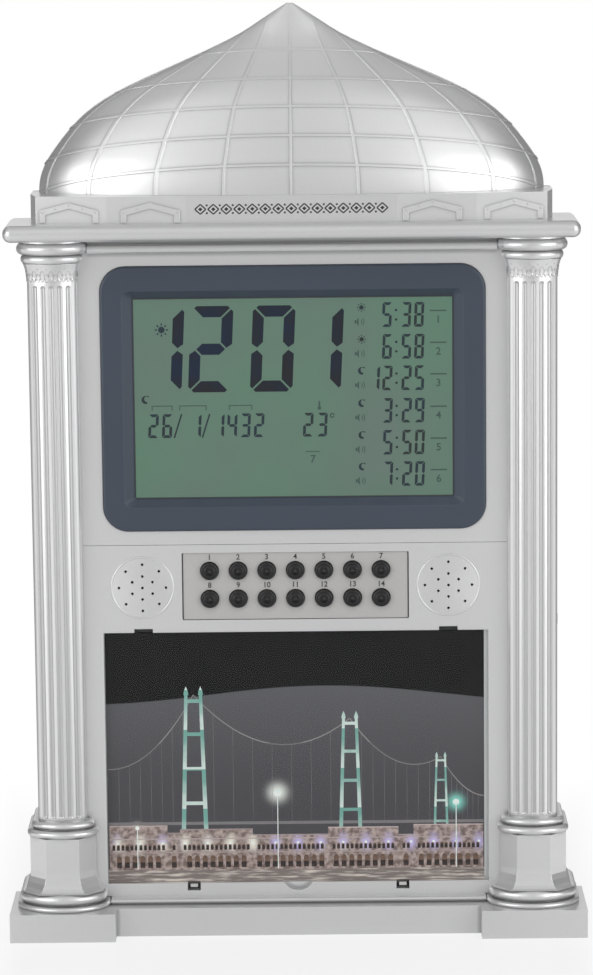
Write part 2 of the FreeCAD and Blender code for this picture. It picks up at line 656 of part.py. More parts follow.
def base():
    """Both plinths and the block between them, hollow and open behind."""
    inner = HALF_WIDTH - PLINTH_WIDTH
    plinth = block(inner, HALF_WIDTH, FRONT_Y, PARTING_Y, 0, PLINTH_HEIGHT)
    middle = block(-inner, inner, BASE_FRONT, PARTING_Y, 0, PLINTH_HEIGHT)
    bead = base_bead().cut(column_envelope(THIN_TORUS[0], 0, DOME_TOP))
    solid = fused([middle, plinth, mirrored(plinth), bead])
    low = WALL
    high = PLINTH_HEIGHT - WALL
    room = block(inner + WALL, HALF_WIDTH - WALL, FRONT_Y + WALL, PARTING_Y - WALL, low, high)
    middle_room = block(-BODY_HALF + WALL, BODY_HALF - WALL, BASE_FRONT + WALL, PARTING_Y, low, high)
    return solid.cut([room, mirrored(room), middle_room])


def front_housing():
    """The carcass: cheeks, column walls, sides and two decks, with screw bosses."""
    z0 = PLINTH_HEIGHT
    z1 = SLAB_Z
    pieces = []
    cheek = block(PANEL_HALF - WALL, PANEL_HALF, PANEL_BACK, WING_Y + WALL, z0, z1)
    wing = block(PANEL_HALF - WALL, BODY_HALF, WING_Y, WING_Y + WALL, z0, z1)
    side = block(BODY_HALF - WALL, BODY_HALF, WING_Y, PARTING_Y, z0, z1)
    for piece in (cheek, wing, side):
        pieces.extend([piece, mirrored(piece)])
    pieces.append(block(-PANEL_HALF, PANEL_HALF, PANEL_BACK, WING_Y + WALL, z1 - WALL, z1))
    pieces.append(block(-PANEL_HALF, PANEL_HALF, PANEL_BACK, WING_Y + WALL, z0, z0 + BASE_BEAD))
    pieces.append(block(-BODY_HALF, BODY_HALF, WING_Y, PARTING_Y, z1 - WALL, z1))
    for z in COVER_SCREW_Z:
        boss = rod_y(COVER_SCREW_X, z, WING_Y, PARTING_Y, BOSS_RADIUS)
        pieces.extend([boss, mirrored(boss)])
    solid = fused(pieces)
    holes = []
    for z in COVER_SCREW_Z:
        hole = screw_hole(COVER_SCREW_X, z, COVER_SCREW_TIP, PARTING_Y)
        holes.extend([hole, mirrored(hole)])
    for z in COLUMN_SCREW_Z:
        hole = screw_hole(COLUMN_X, z, WING_Y, WING_Y + WALL)
        holes.extend([hole, mirrored(hole)])
    return solid.cut(holes)


def cornice():
    """The slab on the columns, with bullnose front and sides."""
    slab = block(-SLAB_HALF, SLAB_HALF, SLAB_FRONT, PARTING_Y, SLAB_Z, FRIEZE_Z)
    edges = []
    for edge in slab.Edges:
        centre = edge.CenterOfMass
        level = abs(edge.tangentAt(edge.FirstParameter).z) < 0.01
        if level and centre.y < PARTING_Y - 0.01:
            edges.append(edge)
        if not level and centre.y < 0:
            edges.append(edge)
    slab = slab.makeFillet(SLAB_ROUND, edges)
    room = block(-DOME_HALF + 2 * WALL, DOME_HALF - 2 * WALL, FRIEZE_FRONT + 3 * WALL, PARTING_Y - WALL,
                 SLAB_Z + WALL, FRIEZE_Z)
    return slab.cut(room)


# ---------------------------------------------------------------- frieze and dome
def frieze_outline(inset):
    """The frieze's plan, moved inwards by inset."""
    right = [(DOME_HALF + past - inset, FRIEZE_FRONT + back + inset) for past, back in FRIEZE_PLAN]
    right.append((FRIEZE_HALF - inset, PARTING_Y))
    left = [(-x, y) for x, y in reversed(right)]
    return right + left


def gable_outline(inset):
    """The outline of a gable with an open foot, moved inwards by inset."""
    half = PEDIMENT_WIDTH / 2 - inset
    peak = PEDIMENT_PEAK - inset
    eave = PEDIMENT_EAVE - inset * PEDIMENT_EAVE_INSET
    corners = [Vector(x, 0, z) for x, z in ((-half, 0), (-half, eave), (0, peak), (half, eave), (half, 0))]
    return Part.Face(Part.makePolygon(corners + corners[:1]))


def pediment(index):
    """One raised gable outline on the frieze, on facet 1 or 2 from the middle."""
    past0, back0 = FRIEZE_PLAN[index - 1]
    past1, back1 = FRIEZE_PLAN[index]
    turn = math.degrees(math.atan2(back1 - back0, past1 - past0))
    band = gable_outline(0.0).cut(gable_outline(PEDIMENT_BAND))
    gable = band.extrude(Vector(0, -PEDIMENT_RELIEF - PEDIMENT_ROOT, 0))
    gable.translate(Vector(PEDIMENT_SHIFT[index - 1], PEDIMENT_ROOT, 0))
    gable.rotate(Vector(0, 0, 0), Vector(0, 0, 1), turn)
    gable.translate(Vector(DOME_HALF + (past0 + past1) / 2, FRIEZE_FRONT + (back0 + back1) / 2,
                           FRIEZE_Z + PEDIMENT_RISE))
    return gable


def frieze_band():
    """The faceted band under the dome, with four gables."""
    body = prism_z(frieze_outline(0.0), FRIEZE_Z, DOME_Z)
    body = body.cut(prism_z(frieze_outline(WALL), FRIEZE_Z, DOME_Z - WALL))
    gables = []
    for index in (1, 2):
        gable = pediment(index)
        gables.extend([gable, mirrored(gable)])
    return fused([body] + gables)


def dome_curve(half, height, base_z):
    """The dome's side outline, from its foot to its tip, as one smooth curve."""
    points = [Vector(half, 0, base_z)]
    points += [Vector(half * x, 0, base_z + height * z) for x, z in DOME_CURVE]
    points.append(Vector(half * DOME_TIP, 0, base_z + height))
    curve = Part.BSplineCurve()
    slope = Vector(half * DOME_END_SLOPE[0], 0, height * DOME_END_SLOPE[1])
    curve.interpolate(Points=points, InitialTangent=Vector(0, 0, height), FinalTangent=slope)
    return curve.toShape()


def dome_side(half, height, base_z):
    """Half of the dome's side view, from its middle line to its outline."""
    outline = dome_curve(half, height, base_z)
    tip = outline.Vertexes[-1].Point
    foot_middle = Vector(0, 0, base_z)
    tip_middle = Vector(0, 0, tip.z)
    edges = [line(foot_middle, Vector(half, 0, base_z)), outline]
    edges += [line(tip, tip_middle), line(tip_middle, foot_middle)]
    return Part.Face(Part.Wire(edges))


def dome_solid(half, height, bulge):
    """Half an ogee dome in relief: turned half a turn, then flattened front to back."""
    turned = dome_side(half, height, DOME_Z).revolve(Vector(0, 0, 0), Vector(0, 0, 1), -180)
    squash = Matrix()
    squash.A22 = bulge / half
    swelled = turned.transformGeometry(squash)
    swelled.translate(Vector(0, PARTING_Y, 0))
    return swelled


def level_rib_planes():
    """Thin slabs, tilted up towards the front, that mark the rings of ribs."""
    slabs = []
    for index in range(RIB_LEVELS):
        slope = RIB_SLOPE - index * RIB_SLOPE_STEP
        slab = block(-2 * DOME_HALF, 2 * DOME_HALF, -2 * DOME_BULGE, 0, -RIB_WIDTH / 2, RIB_WIDTH / 2)
        slab.rotate(Vector(0, 0, 0), Vector(1, 0, 0), -math.degrees(math.atan(slope)))
        slab.translate(Vector(0, PARTING_Y, DOME_Z + RIB_FIRST + index * RIB_PITCH))
        slabs.append(slab)
    return slabs


def upright_rib_planes():
    """Thin upright slabs that fan out from the tip to the foot of the dome."""
    height = DOME_HEIGHT - RIB_END
    reach = 2 * DOME_BULGE
    slabs = [block(-RIB_WIDTH / 2, RIB_WIDTH / 2, PARTING_Y - reach, PARTING_Y, DOME_Z, DOME_Z + height)]
    for index, share in enumerate(RIB_FEET, start=1):
        head = index * RIB_HEAD_PITCH
        foot_x = share * DOME_HALF
        foot_y = DOME_BULGE * math.sqrt(1 - share ** 2)
        slab = block(-RIB_WIDTH / 2, RIB_WIDTH / 2, -2 * DOME_HALF, 0, 0, height)
        slab.rotate(Vector(0, 0, 0), Vector(0, 0, 1), math.degrees(math.atan2(foot_x - head, foot_y)))
        slab.translate(Vector(head, PARTING_Y, DOME_Z))
        slabs.extend([slab, mirrored(slab)])
    return slabs


def dome_shell():
    """The dome as a ribbed shell, open below and behind."""
    outer = dome_solid(DOME_HALF, DOME_HEIGHT, DOME_BULGE)
    proud = dome_solid(DOME_HALF + RIB_RELIEF, DOME_HEIGHT, DOME_BULGE + RIB_RELIEF)
    inner = dome_solid(DOME_HALF - WALL, DOME_HEIGHT - 2 * WALL, DOME_BULGE - WALL)
    front = block(-2 * DOME_HALF, 2 * DOME_HALF, PARTING_Y - 2 * DOME_BULGE, PARTING_Y, DOME_Z, DOME_TOP)
    grid = level_rib_planes()[0].fuse(level_rib_planes()[1:] + upright_rib_planes())
    ribs = proud.common(grid).common(front)
    return outer.fuse(ribs).cut(inner)


# ---------------------------------------------------------------- panels
def header_moulding():
    """Bead and cove under the slab, on the upper panel."""
    half = PANEL_HALF
    z_cove = HEADER_Z + HEADER_BEAD
    out = PANEL_Y - HEADER_BEAD_OUT
    root = out + HEADER_BEAD / 2
    lip = PANEL_Y - HEADER_COVE_OUT
    nose = Vector(-half, out, (HEADER_Z + z_cove) / 2)
    bend_in, bend_up = HEADER_COVE_BEND
    hollow = Vector(-half, root + (lip - root) * bend_in, z_cove + HEADER_COVE * bend_up)
    outline = [
        line(Vector(-half, PANEL_BACK, HEADER_Z), Vector(-half, root, HEADER_Z)),
        arc(Vector(-half, root, HEADER_Z), nose, Vector(-half, root, z_cove)),
        arc(Vector(-half, root, z_cove), hollow, Vector(-half, lip, SLAB_Z)),
        line(Vector(-half, lip, SLAB_Z), Vector(-half, PANEL_BACK, SLAB_Z)),
        line(Vector(-half, PANEL_BACK, SLAB_Z), Vector(-half, PANEL_BACK, HEADER_Z)),
    ]
    moulding = Part.Face(Part.Wire(outline)).extrude(Vector(2 * half, 0, 0))
    return moulding.cut(column_envelope(CAP_TORUS[0], HEADER_Z - 1, SLAB_Z + 1))


def upper_panel():
    """The plate round the display, with the header moulding."""
    plate = block(-PANEL_HALF, PANEL_HALF, PANEL_Y, PANEL_BACK, SEAM_Z + SEAT_GAP, SLAB_Z)
    opening = rounded_plate(BEZEL_WIDTH + 2 * SEAT_GAP, BEZEL_HEIGHT + 2 * SEAT_GAP, BEZEL_CORNER + SEAT_GAP,
                            PANEL_Y - 1, PANEL_BACK + 1, BEZEL_Z)
    return fused([plate, header_moulding()]).cut(opening)


def hook_slots():
    """Notches over the pocket and under it, where the window's hooks and latches sit."""
    hook_half = HOOK_WIDTH / 2 + RUN_GAP
    latch_half = LATCH_WIDTH / 2 + RUN_GAP
    hook_top = POCKET_TOP + HOOK_SLOT_HEIGHT
    latch_foot = POCKET_Z - LATCH_SLOT_HEIGHT
    slots = []
    for x in (-HOOK_X, HOOK_X):
        slots.append(block(x - hook_half, x + hook_half, PANEL_Y, POCKET_FLOOR, POCKET_TOP, hook_top))
    for x in (-LATCH_X, LATCH_X):
        slots.append(block(x - latch_half, x + latch_half, PANEL_Y, POCKET_FLOOR, latch_foot, POCKET_Z))
    return slots


def lower_panel():
    """The fascia: print pocket, keypad opening, and a cup behind each loudspeaker grille."""
    z0 = PANEL_BOTTOM
    plate = block(-PANEL_HALF, PANEL_HALF, PANEL_Y, PANEL_BACK, z0, SEAM_Z)
    half = POCKET_WIDTH / 2
    tray = block(-half - POCKET_WALL, half + POCKET_WALL, PANEL_Y, POCKET_FLOOR + POCKET_WALL,
                 POCKET_Z - LATCH_SLOT_HEIGHT - POCKET_WALL, POCKET_TOP + HOOK_SLOT_HEIGHT + POCKET_WALL)
    pieces = [plate, tray]
    cuts = [block(-half, half, PANEL_Y, POCKET_FLOOR, POCKET_Z, POCKET_TOP)]
    cuts.extend(hook_slots())
    scoop_z = POCKET_Z - SCOOP_DROP + SCOOP_RADIUS
    cuts.append(rod_y(0, scoop_z, PANEL_Y, POCKET_FLOOR - RUN_GAP, SCOOP_RADIUS))
    for x in (-SPEAKER_X, SPEAKER_X):
        cup = rod_y(x, SPEAKER_Z, PANEL_Y, PANEL_BACK + CUP_DEPTH, SPEAKER_RADIUS + SEAT_GAP + CUP_WALL)
        pieces.append(cup)
        cuts.append(rod_y(x, SPEAKER_Z, PANEL_BACK, PANEL_BACK + CUP_DEPTH, SPEAKER_RADIUS + SEAT_GAP))
        cuts.append(rod_y(x, SPEAKER_Z, PANEL_Y, PANEL_BACK, GRILLE_RADIUS + SEAT_GAP))
    cuts.append(rounded_plate(KEY_PLATE_WIDTH + 2 * SEAT_GAP, KEY_PLATE_HEIGHT + 2 * SEAT_GAP,
                              KEY_PLATE_CORNER + SEAT_GAP, PANEL_Y - 1, PANEL_BACK + CUP_DEPTH, KEY_PLATE_Z))
    return fused(pieces).cut(cuts)


def screen_bezel():
    """The display surround: rounded front, hidden flange, bevelled window."""
    front = rounded_plate(BEZEL_WIDTH, BEZEL_HEIGHT, BEZEL_CORNER, BEZEL_FRONT, PANEL_BACK, BEZEL_Z)
    rim = [edge for edge in front.Edges if abs(edge.CenterOfMass.y - BEZEL_FRONT) < 1e-6]
    front = front.makeFillet(BEZEL_ROUND, rim)
    flange = rounded_plate(BEZEL_WIDTH + 2 * BEZEL_LEDGE, BEZEL_HEIGHT + 2 * BEZEL_LEDGE, BEZEL_CORNER,
                           PANEL_BACK, BEZEL_LEDGE_BACK, BEZEL_Z)
    mouth = rounded_wire(BEVEL_WIDTH, BEVEL_HEIGHT, BEVEL_CORNER, BEZEL_FRONT, BEZEL_Z)
    window = rounded_wire(WINDOW_WIDTH, WINDOW_HEIGHT, WINDOW_CORNER, GLASS_FRONT, BEZEL_Z)
    bevel = Part.makeLoft([mouth, window], True)
    half_x = GLASS_WIDTH / 2 + SEAT_GAP
    half_z = GLASS_HEIGHT / 2 + SEAT_GAP
    seat = block(-half_x, half_x, GLASS_FRONT, BEZEL_LEDGE_BACK, BEZEL_Z - half_z, BEZEL_Z + half_z)
    return fused([front, flange]).cut([bevel, seat])


def display_block(width, height, y0, y1):
    """A block behind the window, on the display's middle."""
    return block(-width / 2, width / 2, y0, y1, BEZEL_Z - height / 2, BEZEL_Z + height / 2)


def display_frame(wall, y0, y1):
    """An open frame of the holder's size."""
    outer = display_block(HOLDER_WIDTH, HOLDER_HEIGHT, y0, y1)
    return outer.cut(display_block(HOLDER_WIDTH - 2 * wall, HOLDER_HEIGHT - 2 * wall, y0, y1))


def contact_strips():
    """The two elastomer strips between the glass and the main board."""
    half = GLASS_WIDTH / 2 - STRIP_END
    strips = []
    for side in (-1, 1):
        z = BEZEL_Z + side * (GLASS_HEIGHT / 2 - 2 * STRIP_WIDTH)
        strips.append(block(-half, half, GLASS_BACK, MAIN_BOARD_Y, z - STRIP_WIDTH / 2, z + STRIP_WIDTH / 2))
    return Part.makeCompound(strips)


def main_board():
    """The main board with its glob of resin over the chip and its crystal."""
    board = display_block(HOLDER_WIDTH, HOLDER_HEIGHT, MAIN_BOARD_Y, MAIN_BOARD_BACK)
    chip = capped_rod(0, BEZEL_Z, MAIN_BOARD_BACK, MAIN_BOARD_BACK + CHIP_HEIGHT, CHIP_RADIUS, CHIP_HEIGHT)
    z0 = BEZEL_Z - CRYSTAL_DROP - CRYSTAL_THICK / 2
    crystal = block(CRYSTAL_X - CRYSTAL_LENGTH / 2, CRYSTAL_X + CRYSTAL_LENGTH / 2, MAIN_BOARD_BACK,
                    MAIN_BOARD_BACK + CRYSTAL_THICK, z0, z0 + CRYSTAL_THICK)
    return fused([board, chip, crystal])


def display_parts():
    """Glass, holder, contact strips and main board, stacked behind the bezel, and the board screws."""
    holder = fused([display_frame(HOLDER_WALL, BEZEL_LEDGE_BACK, MAIN_BOARD_Y),
                    display_frame(2 * HOLDER_WALL, GLASS_BACK, MAIN_BOARD_Y)])
    tip = MAIN_BOARD_BACK - BOARD_SCREW_LENGTH
    screws = []
    holes = []
    for side in (-1, 1):
        for end in (-1, 1):
            x = side * (HOLDER_WIDTH / 2 - HOLDER_WALL)
            z = BEZEL_Z + end * (HOLDER_HEIGHT / 2 - HOLDER_WALL)
            screws.append(screw(x, z, tip, BOARD_SCREW_LENGTH))
            holes.append(screw_hole(x, z, tip, MAIN_BOARD_BACK))
    for x in (-KEY_POST_X, KEY_POST_X):
        screws.append(screw(x, KEY_MID_Z, KEY_BOARD_BACK - BOARD_SCREW_LENGTH, BOARD_SCREW_LENGTH))
    return {
        "lcd_glass": display_block(GLASS_WIDTH, GLASS_HEIGHT, GLASS_FRONT, GLASS_BACK),
        "lcd_holder": holder.cut(holes),
        "lcd_contact_strips": contact_strips(),
        "main_board": main_board().cut(holes),
        "board_screws": Part.makeCompound(screws),
    }


# ---------------------------------------------------------------- keypad
def key_places():
    """The middle of each key, top row first, from left to right."""
    left = -(KEY_COLUMNS - 1) * KEY_PITCH_X / 2
    top = KEY_MID_Z + (KEY_ROWS - 1) * KEY_PITCH_Z / 2
    places = []
    for row in range(KEY_ROWS):
        for column_index in range(KEY_COLUMNS):
            places.append((left + column_index * KEY_PITCH_X, top - row * KEY_PITCH_Z))
    return places


def key(x, z):
    """One push button: domed cap, retaining flange and stem."""
    cap = rod_y(x, z, KEY_FRONT, KEY_FLANGE_FRONT, KEY_RADIUS)
    rim = [edge for edge in cap.Edges if abs(edge.CenterOfMass.y - KEY_FRONT) < 1e-6]
    flange = rod_y(x, z, KEY_FLANGE_FRONT, KEY_FLANGE_BACK, KEY_RADIUS + KEY_FLANGE_WIDTH)
    stem = rod_y(x, z, KEY_FLANGE_BACK, KEY_STEM_BACK, KEY_STEM_RADIUS)
    return fused([cap.makeFillet(KEY_DOME, rim), flange, stem])


def key_switch(x, z):
    """The small switch behind one key."""
    half = SWITCH_SIDE / 2
    body = block(x - half, x + half, SWITCH_FRONT, KEY_BOARD_Y, z - half, z + half)
    return body.fuse(rod_y(x, z, PLUNGER_FRONT, SWITCH_FRONT, SWITCH_PLUNGER_RADIUS))


def key_plate():
    """The label plate: its face, the ledge behind it, and two posts for the key board."""
    plate = rounded_plate(KEY_PLATE_WIDTH, KEY_PLATE_HEIGHT, KEY_PLATE_CORNER, KEY_PLATE_FRONT, PANEL_BACK,
                          KEY_PLATE_Z)
    half_x = KEY_PLATE_WIDTH / 2
    half_z = KEY_PLATE_HEIGHT / 2 + KEY_PLATE_LEDGE
    ledge = block(-half_x, half_x, PANEL_BACK, KEY_LEDGE_BACK, KEY_PLATE_Z - half_z, KEY_PLATE_Z + half_z)
    pieces = [plate, ledge]
    holes = [rod_y(x, z, KEY_PLATE_FRONT, KEY_LEDGE_BACK, KEY_RADIUS + RUN_GAP) for x, z in key_places()]
    for x in (-KEY_POST_X, KEY_POST_X):
        pieces.append(rod_y(x, KEY_MID_Z, PANEL_BACK, KEY_BOARD_Y, KEY_POST_RADIUS))
        holes.append(screw_hole(x, KEY_MID_Z, KEY_BOARD_BACK - BOARD_SCREW_LENGTH, KEY_BOARD_Y))
    return fused(pieces).cut(holes)


def key_board():
    """The board that carries the key switches."""
    half_x = KEY_PLATE_WIDTH / 2 - KEY_BOARD_MARGIN
    half_z = KEY_PLATE_HEIGHT / 2 + KEY_BOARD_MARGIN
    board = block(-half_x, half_x, KEY_BOARD_Y, KEY_BOARD_BACK, KEY_PLATE_Z - half_z, KEY_PLATE_Z + half_z)
    holes = [screw_hole(x, KEY_MID_Z, KEY_BOARD_Y, KEY_BOARD_BACK) for x in (-KEY_POST_X, KEY_POST_X)]
    return board.cut(holes)


def key_parts():
    """Label plate, keys, the switches behind them and their board."""
    parts = {}
    for number, (x, z) in enumerate(key_places(), start=1):
        parts[f"button_{number:02d}"] = key(x, z)
    parts["button_plate"] = key_plate()
    parts["key_switches"] = Part.makeCompound([key_switch(x, z) for x, z in key_places()])
    parts["button_board"] = key_board()
    return parts


def ribbon_cable():
    """The flat cable from the key board up to the main board."""
    z_low = KEY_PLATE_Z + KEY_PLATE_HEIGHT / 2 - RIBBON_LOW_INSET
    z_high = BEZEL_Z - BEZEL_HEIGHT / 2 + RIBBON_HIGH_INSET
    bow = max(KEY_BOARD_BACK, MAIN_BOARD_BACK) + RIBBON_BOW
    turn = RIBBON_TAIL + RIBBON_BEND
    inner = [(KEY_BOARD_BACK, z_low), (KEY_BOARD_BACK, z_low + RIBBON_TAIL), (bow, z_low + turn),
             (bow, z_high - turn), (MAIN_BOARD_BACK, z_high - RIBBON_TAIL), (MAIN_BOARD_BACK, z_high)]
    outer = [(y + RIBBON_THICK, z) for y, z in reversed(inner)]
    return prism_x(inner + outer, -RIBBON_HALF, RIBBON_HALF)


# ---------------------------------------------------------------- loudspeakers
def holes_on_circle(x, count, radius, first_turn, y0, y1):
    """The holes of one circle of a grille."""
    holes = []
    for index in range(count):
        turn = math.radians(first_turn + 360.0 * index / count)
        hole_x = x + radius * math.cos(turn)
        holes.append(rod_y(hole_x, SPEAKER_Z + radius * math.sin(turn), y0, y1, GRILLE_HOLE_RADIUS))
    return holes


def grille(x):
    """A shallow domed disc with a hole in its middle and two circles of holes."""
    back = PANEL_Y + GRILLE_RIM_THICK
    disc = capped_rod(x, SPEAKER_Z, back, PANEL_Y - GRILLE_DOME, GRILLE_RADIUS, GRILLE_DOME)
    rim = rod_y(x, SPEAKER_Z, back, PANEL_BACK, GRILLE_RADIUS)
    rim = rim.cut(rod_y(x, SPEAKER_Z, back, PANEL_BACK, GRILLE_RADIUS - CUP_WALL))
    y0 = PANEL_Y - GRILLE_DOME
    holes = [rod_y(x, SPEAKER_Z, y0, back, GRILLE_HOLE_RADIUS)]
    holes += holes_on_circle(x, GRILLE_INNER_COUNT, GRILLE_INNER_RADIUS, GRILLE_INNER_TURN, y0, back)
    holes += holes_on_circle(x, GRILLE_OUTER_COUNT, GRILLE_OUTER_RADIUS, 0.0, y0, back)
    return fused([disc, rim]).cut(holes)


def turned_y(points, x, z):
    """A turned piece about an axis along Y, from (radius, y) points."""
    corners = [Vector(radius, y, 0) for radius, y in points]
    solid = Part.Face(Part.makePolygon(corners + corners[:1])).revolve(Vector(0, 0, 0), Vector(0, 1, 0), 360)
    solid.translate(Vector(x, 0, z))
    return solid


def speaker(x):
    """Frame and magnet of one loudspeaker, and its cone."""
    front = PANEL_BACK
    rim_back = front + SPEAKER_RIM
    plate = front + SPEAKER_DEPTH - MAGNET_HEIGHT
    back = front + SPEAKER_DEPTH
    throat = SPEAKER_RADIUS - SPEAKER_RIM_WIDTH
    frame = [(SPEAKER_RADIUS, front), (SPEAKER_RADIUS, rim_back)]
    frame += [(MAGNET_RADIUS, plate), (MAGNET_RADIUS, back), (0, back), (0, plate)]
    frame += [(MAGNET_RADIUS - BASKET_WALL, plate - BASKET_STEP)]
    frame += [(throat, rim_back), (throat, front)]
    edge = front + CONE_SUNK
    deep = edge + CONE_DEPTH
    cap = deep - CONE_DEPTH / 2
    cone = [(throat, edge), (throat, edge + CONE_THICK), (DUST_CAP_RADIUS, deep + CONE_THICK)]
    cone += [(0, cap + CONE_THICK), (0, cap), (DUST_CAP_RADIUS, deep)]
    return turned_y(frame, x, SPEAKER_Z), turned_y(cone, x, SPEAKER_Z)


# ---------------------------------------------------------------- picture
def picture_parts():
    """The clear window with its hooks and latches, and the print behind it."""
    half = POCKET_WIDTH / 2 - RUN_GAP
    z0 = POCKET_Z + RUN_GAP
    z1 = POCKET_TOP - RUN_GAP
    sheet = block(-half, half, SHEET_FRONT, SHEET_BACK, z0, z1)
    top_edges = []
    for edge in sheet.Edges:
        along = abs(edge.tangentAt(edge.FirstParameter).x) > 0.99
        if along and abs(edge.CenterOfMass.z - z1) < 1e-6:
            top_edges.append(edge)
    sheet = sheet.makeFillet(SHEET_THICK * FULL_ROUND, top_edges)
    middle = (SHEET_FRONT + SHEET_BACK) / 2
    hook_room = (middle - HOOK_THICK / 2, middle + HOOK_THICK / 2, z1 - SHEET_THICK, z1 + HOOK_HEIGHT)
    latch_room = (middle - LATCH_THICK / 2, middle + LATCH_THICK / 2, z0 - LATCH_HEIGHT, z0 + LATCH_ROOT)
    pieces = [sheet]
    for side in (-1, 1):
        x = side * HOOK_X
        pieces.append(block(x - HOOK_WIDTH / 2, x + HOOK_WIDTH / 2, *hook_room))
        x = side * LATCH_X
        pieces.append(block(x - LATCH_WIDTH / 2, x + LATCH_WIDTH / 2, *latch_room))
    card = block(-half, PRINT_WIDTH - half, POCKET_FLOOR - PRINT_THICK, POCKET_FLOOR, POCKET_Z + SEAT_GAP,
                 POCKET_Z + SEAT_GAP + PRINT_HEIGHT)
    return {"picture_window": fused(pieces), "picture_print": card}


# ---------------------------------------------------------------- rear cover
def cover_wire(inset, y, share):
    """The cover's outline at one depth; share is 0 at the joint and 1 at the back."""
    half = BODY_HALF - inset - share * COVER_TAPER
    top = SLAB_Z - inset - share * COVER_TAPER
    bottom = inset
    corner = max(COVER_CORNER - inset, LEAST_CORNER)
    return rounded_wire(2 * half, top - bottom, corner, y, (top + bottom) / 2)


def keyhole(x):
    """A hanging slot: a round entry with a narrow slot above it."""
    y0 = BACK_Y - 2 * COVER_WALL
    entry = rod_y(x, KEYHOLE_Z, y0, BACK_Y, KEYHOLE_ENTRY)
    top = rod_y(x, KEYHOLE_Z + KEYHOLE_RISE, y0, BACK_Y, KEYHOLE_SLOT)
    slot = block(x - KEYHOLE_SLOT, x + KEYHOLE_SLOT, y0, BACK_Y, KEYHOLE_Z, KEYHOLE_Z + KEYHOLE_RISE)
    return fused([entry, slot, top])


def cover_tray():
    """The tapered tray that closes the housing, and the back of frieze and dome."""
    outer = Part.makeLoft([cover_wire(0.0, PARTING_Y, 0.0), cover_wire(0.0, BACK_Y, 1.0)], True)
    room_mouth = cover_wire(COVER_WALL, PARTING_Y, 0.0)
    room_floor = cover_wire(COVER_WALL, BACK_Y - COVER_WALL, 1.0)
    room = Part.makeLoft([room_mouth, room_floor], True)
    dome_back = dome_side(DOME_HALF, DOME_HEIGHT, DOME_Z).extrude(Vector(0, COVER_WALL, 0))
    dome_back.translate(Vector(0, PARTING_Y, 0))
    neck_half = FRIEZE_HALF - SEAT_GAP
    neck = block(-neck_half, neck_half, PARTING_Y, PARTING_Y + COVER_WALL, SLAB_Z - COVER_CORNER, DOME_Z)
    return [outer.cut(room), neck, dome_back, mirrored(dome_back)]


def well_block(side, end, y0, y1):
    """A block round the battery well's middle, larger than the well by side and end."""
    half_x = WELL_WIDTH / 2 + side
    half_z = WELL_HEIGHT / 2 + end
    return block(-half_x, half_x, y0, y1, WELL_Z - half_z, WELL_Z + half_z)


def toggle_slot(x0, x1):
    """The room that the side switch's knob needs as it slides."""
    half_y = TOGGLE_WIDTH / 2 + RUN_GAP
    half_z = TOGGLE_HEIGHT / 2 + RUN_GAP
    low = TOGGLE_Z - TOGGLE_TRAVEL - half_z
    return block(x0, x1, TOGGLE_Y - half_y, TOGGLE_Y + half_y, low, TOGGLE_Z + half_z)


def toggle_body_block(margin, x0, x1):
    """A block round the switch body, larger than it by margin."""
    half_y = TOGGLE_BODY_DEPTH / 2 + margin
    half_z = TOGGLE_BODY_HEIGHT / 2 + margin
    mid_z = TOGGLE_Z - TOGGLE_TRAVEL / 2
    return block(x0, x1, TOGGLE_Y - half_y, TOGGLE_Y + half_y, mid_z - half_z, mid_z + half_z)


def rear_cover():
    """The back shell: tray, posts, battery well, keyholes and the cradle of the side switch."""
    pieces = cover_tray()
    cuts = [keyhole(-KEYHOLE_X), keyhole(KEYHOLE_X)]
    for z in COVER_SCREW_Z:
        for x in (-COVER_SCREW_X, COVER_SCREW_X):
            pieces.append(rod_y(x, z, PARTING_Y, BACK_Y - COVER_WALL / 2, POST_RADIUS))
            cuts.append(rod_y(x, z, COVER_SCREW_SEAT, BACK_Y, SCREW_HEAD_RADIUS + SCREW_HEAD_ROOM))
            cuts.append(rod_y(x, z, PARTING_Y, COVER_SCREW_SEAT, SCREW_RADIUS + 2 * SCREW_CLEARANCE))
    skin = BACK_Y - COVER_WALL / 2
    door_back = BACK_Y - DOOR_THICK
    pieces.append(well_block(WELL_WALL, WELL_WALL, WELL_FRONT - WELL_WALL, skin))
    pieces.append(well_block(DOOR_SIDE_MARGIN + DOOR_LIP, DOOR_END_MARGIN + DOOR_LIP,
                             door_back - RUN_GAP - DOOR_LIP, skin))
    cuts.append(well_block(0, 0, WELL_FRONT, BACK_Y))
    door_side = DOOR_SIDE_MARGIN + RUN_GAP
    cuts.append(well_block(door_side, DOOR_END_MARGIN + RUN_GAP, door_back - RUN_GAP, BACK_Y))
    pieces.append(toggle_body_block(SEAT_GAP + CRADLE_WALL, TOGGLE_FACE - TOGGLE_BODY_WIDTH, CRADLE_ROOT))
    cuts.append(toggle_body_block(SEAT_GAP, TOGGLE_FACE - TOGGLE_BODY_WIDTH, TOGGLE_FACE))
    cuts.append(toggle_slot(TOGGLE_FACE, BODY_HALF))
    return fused(pieces).cut(cuts)


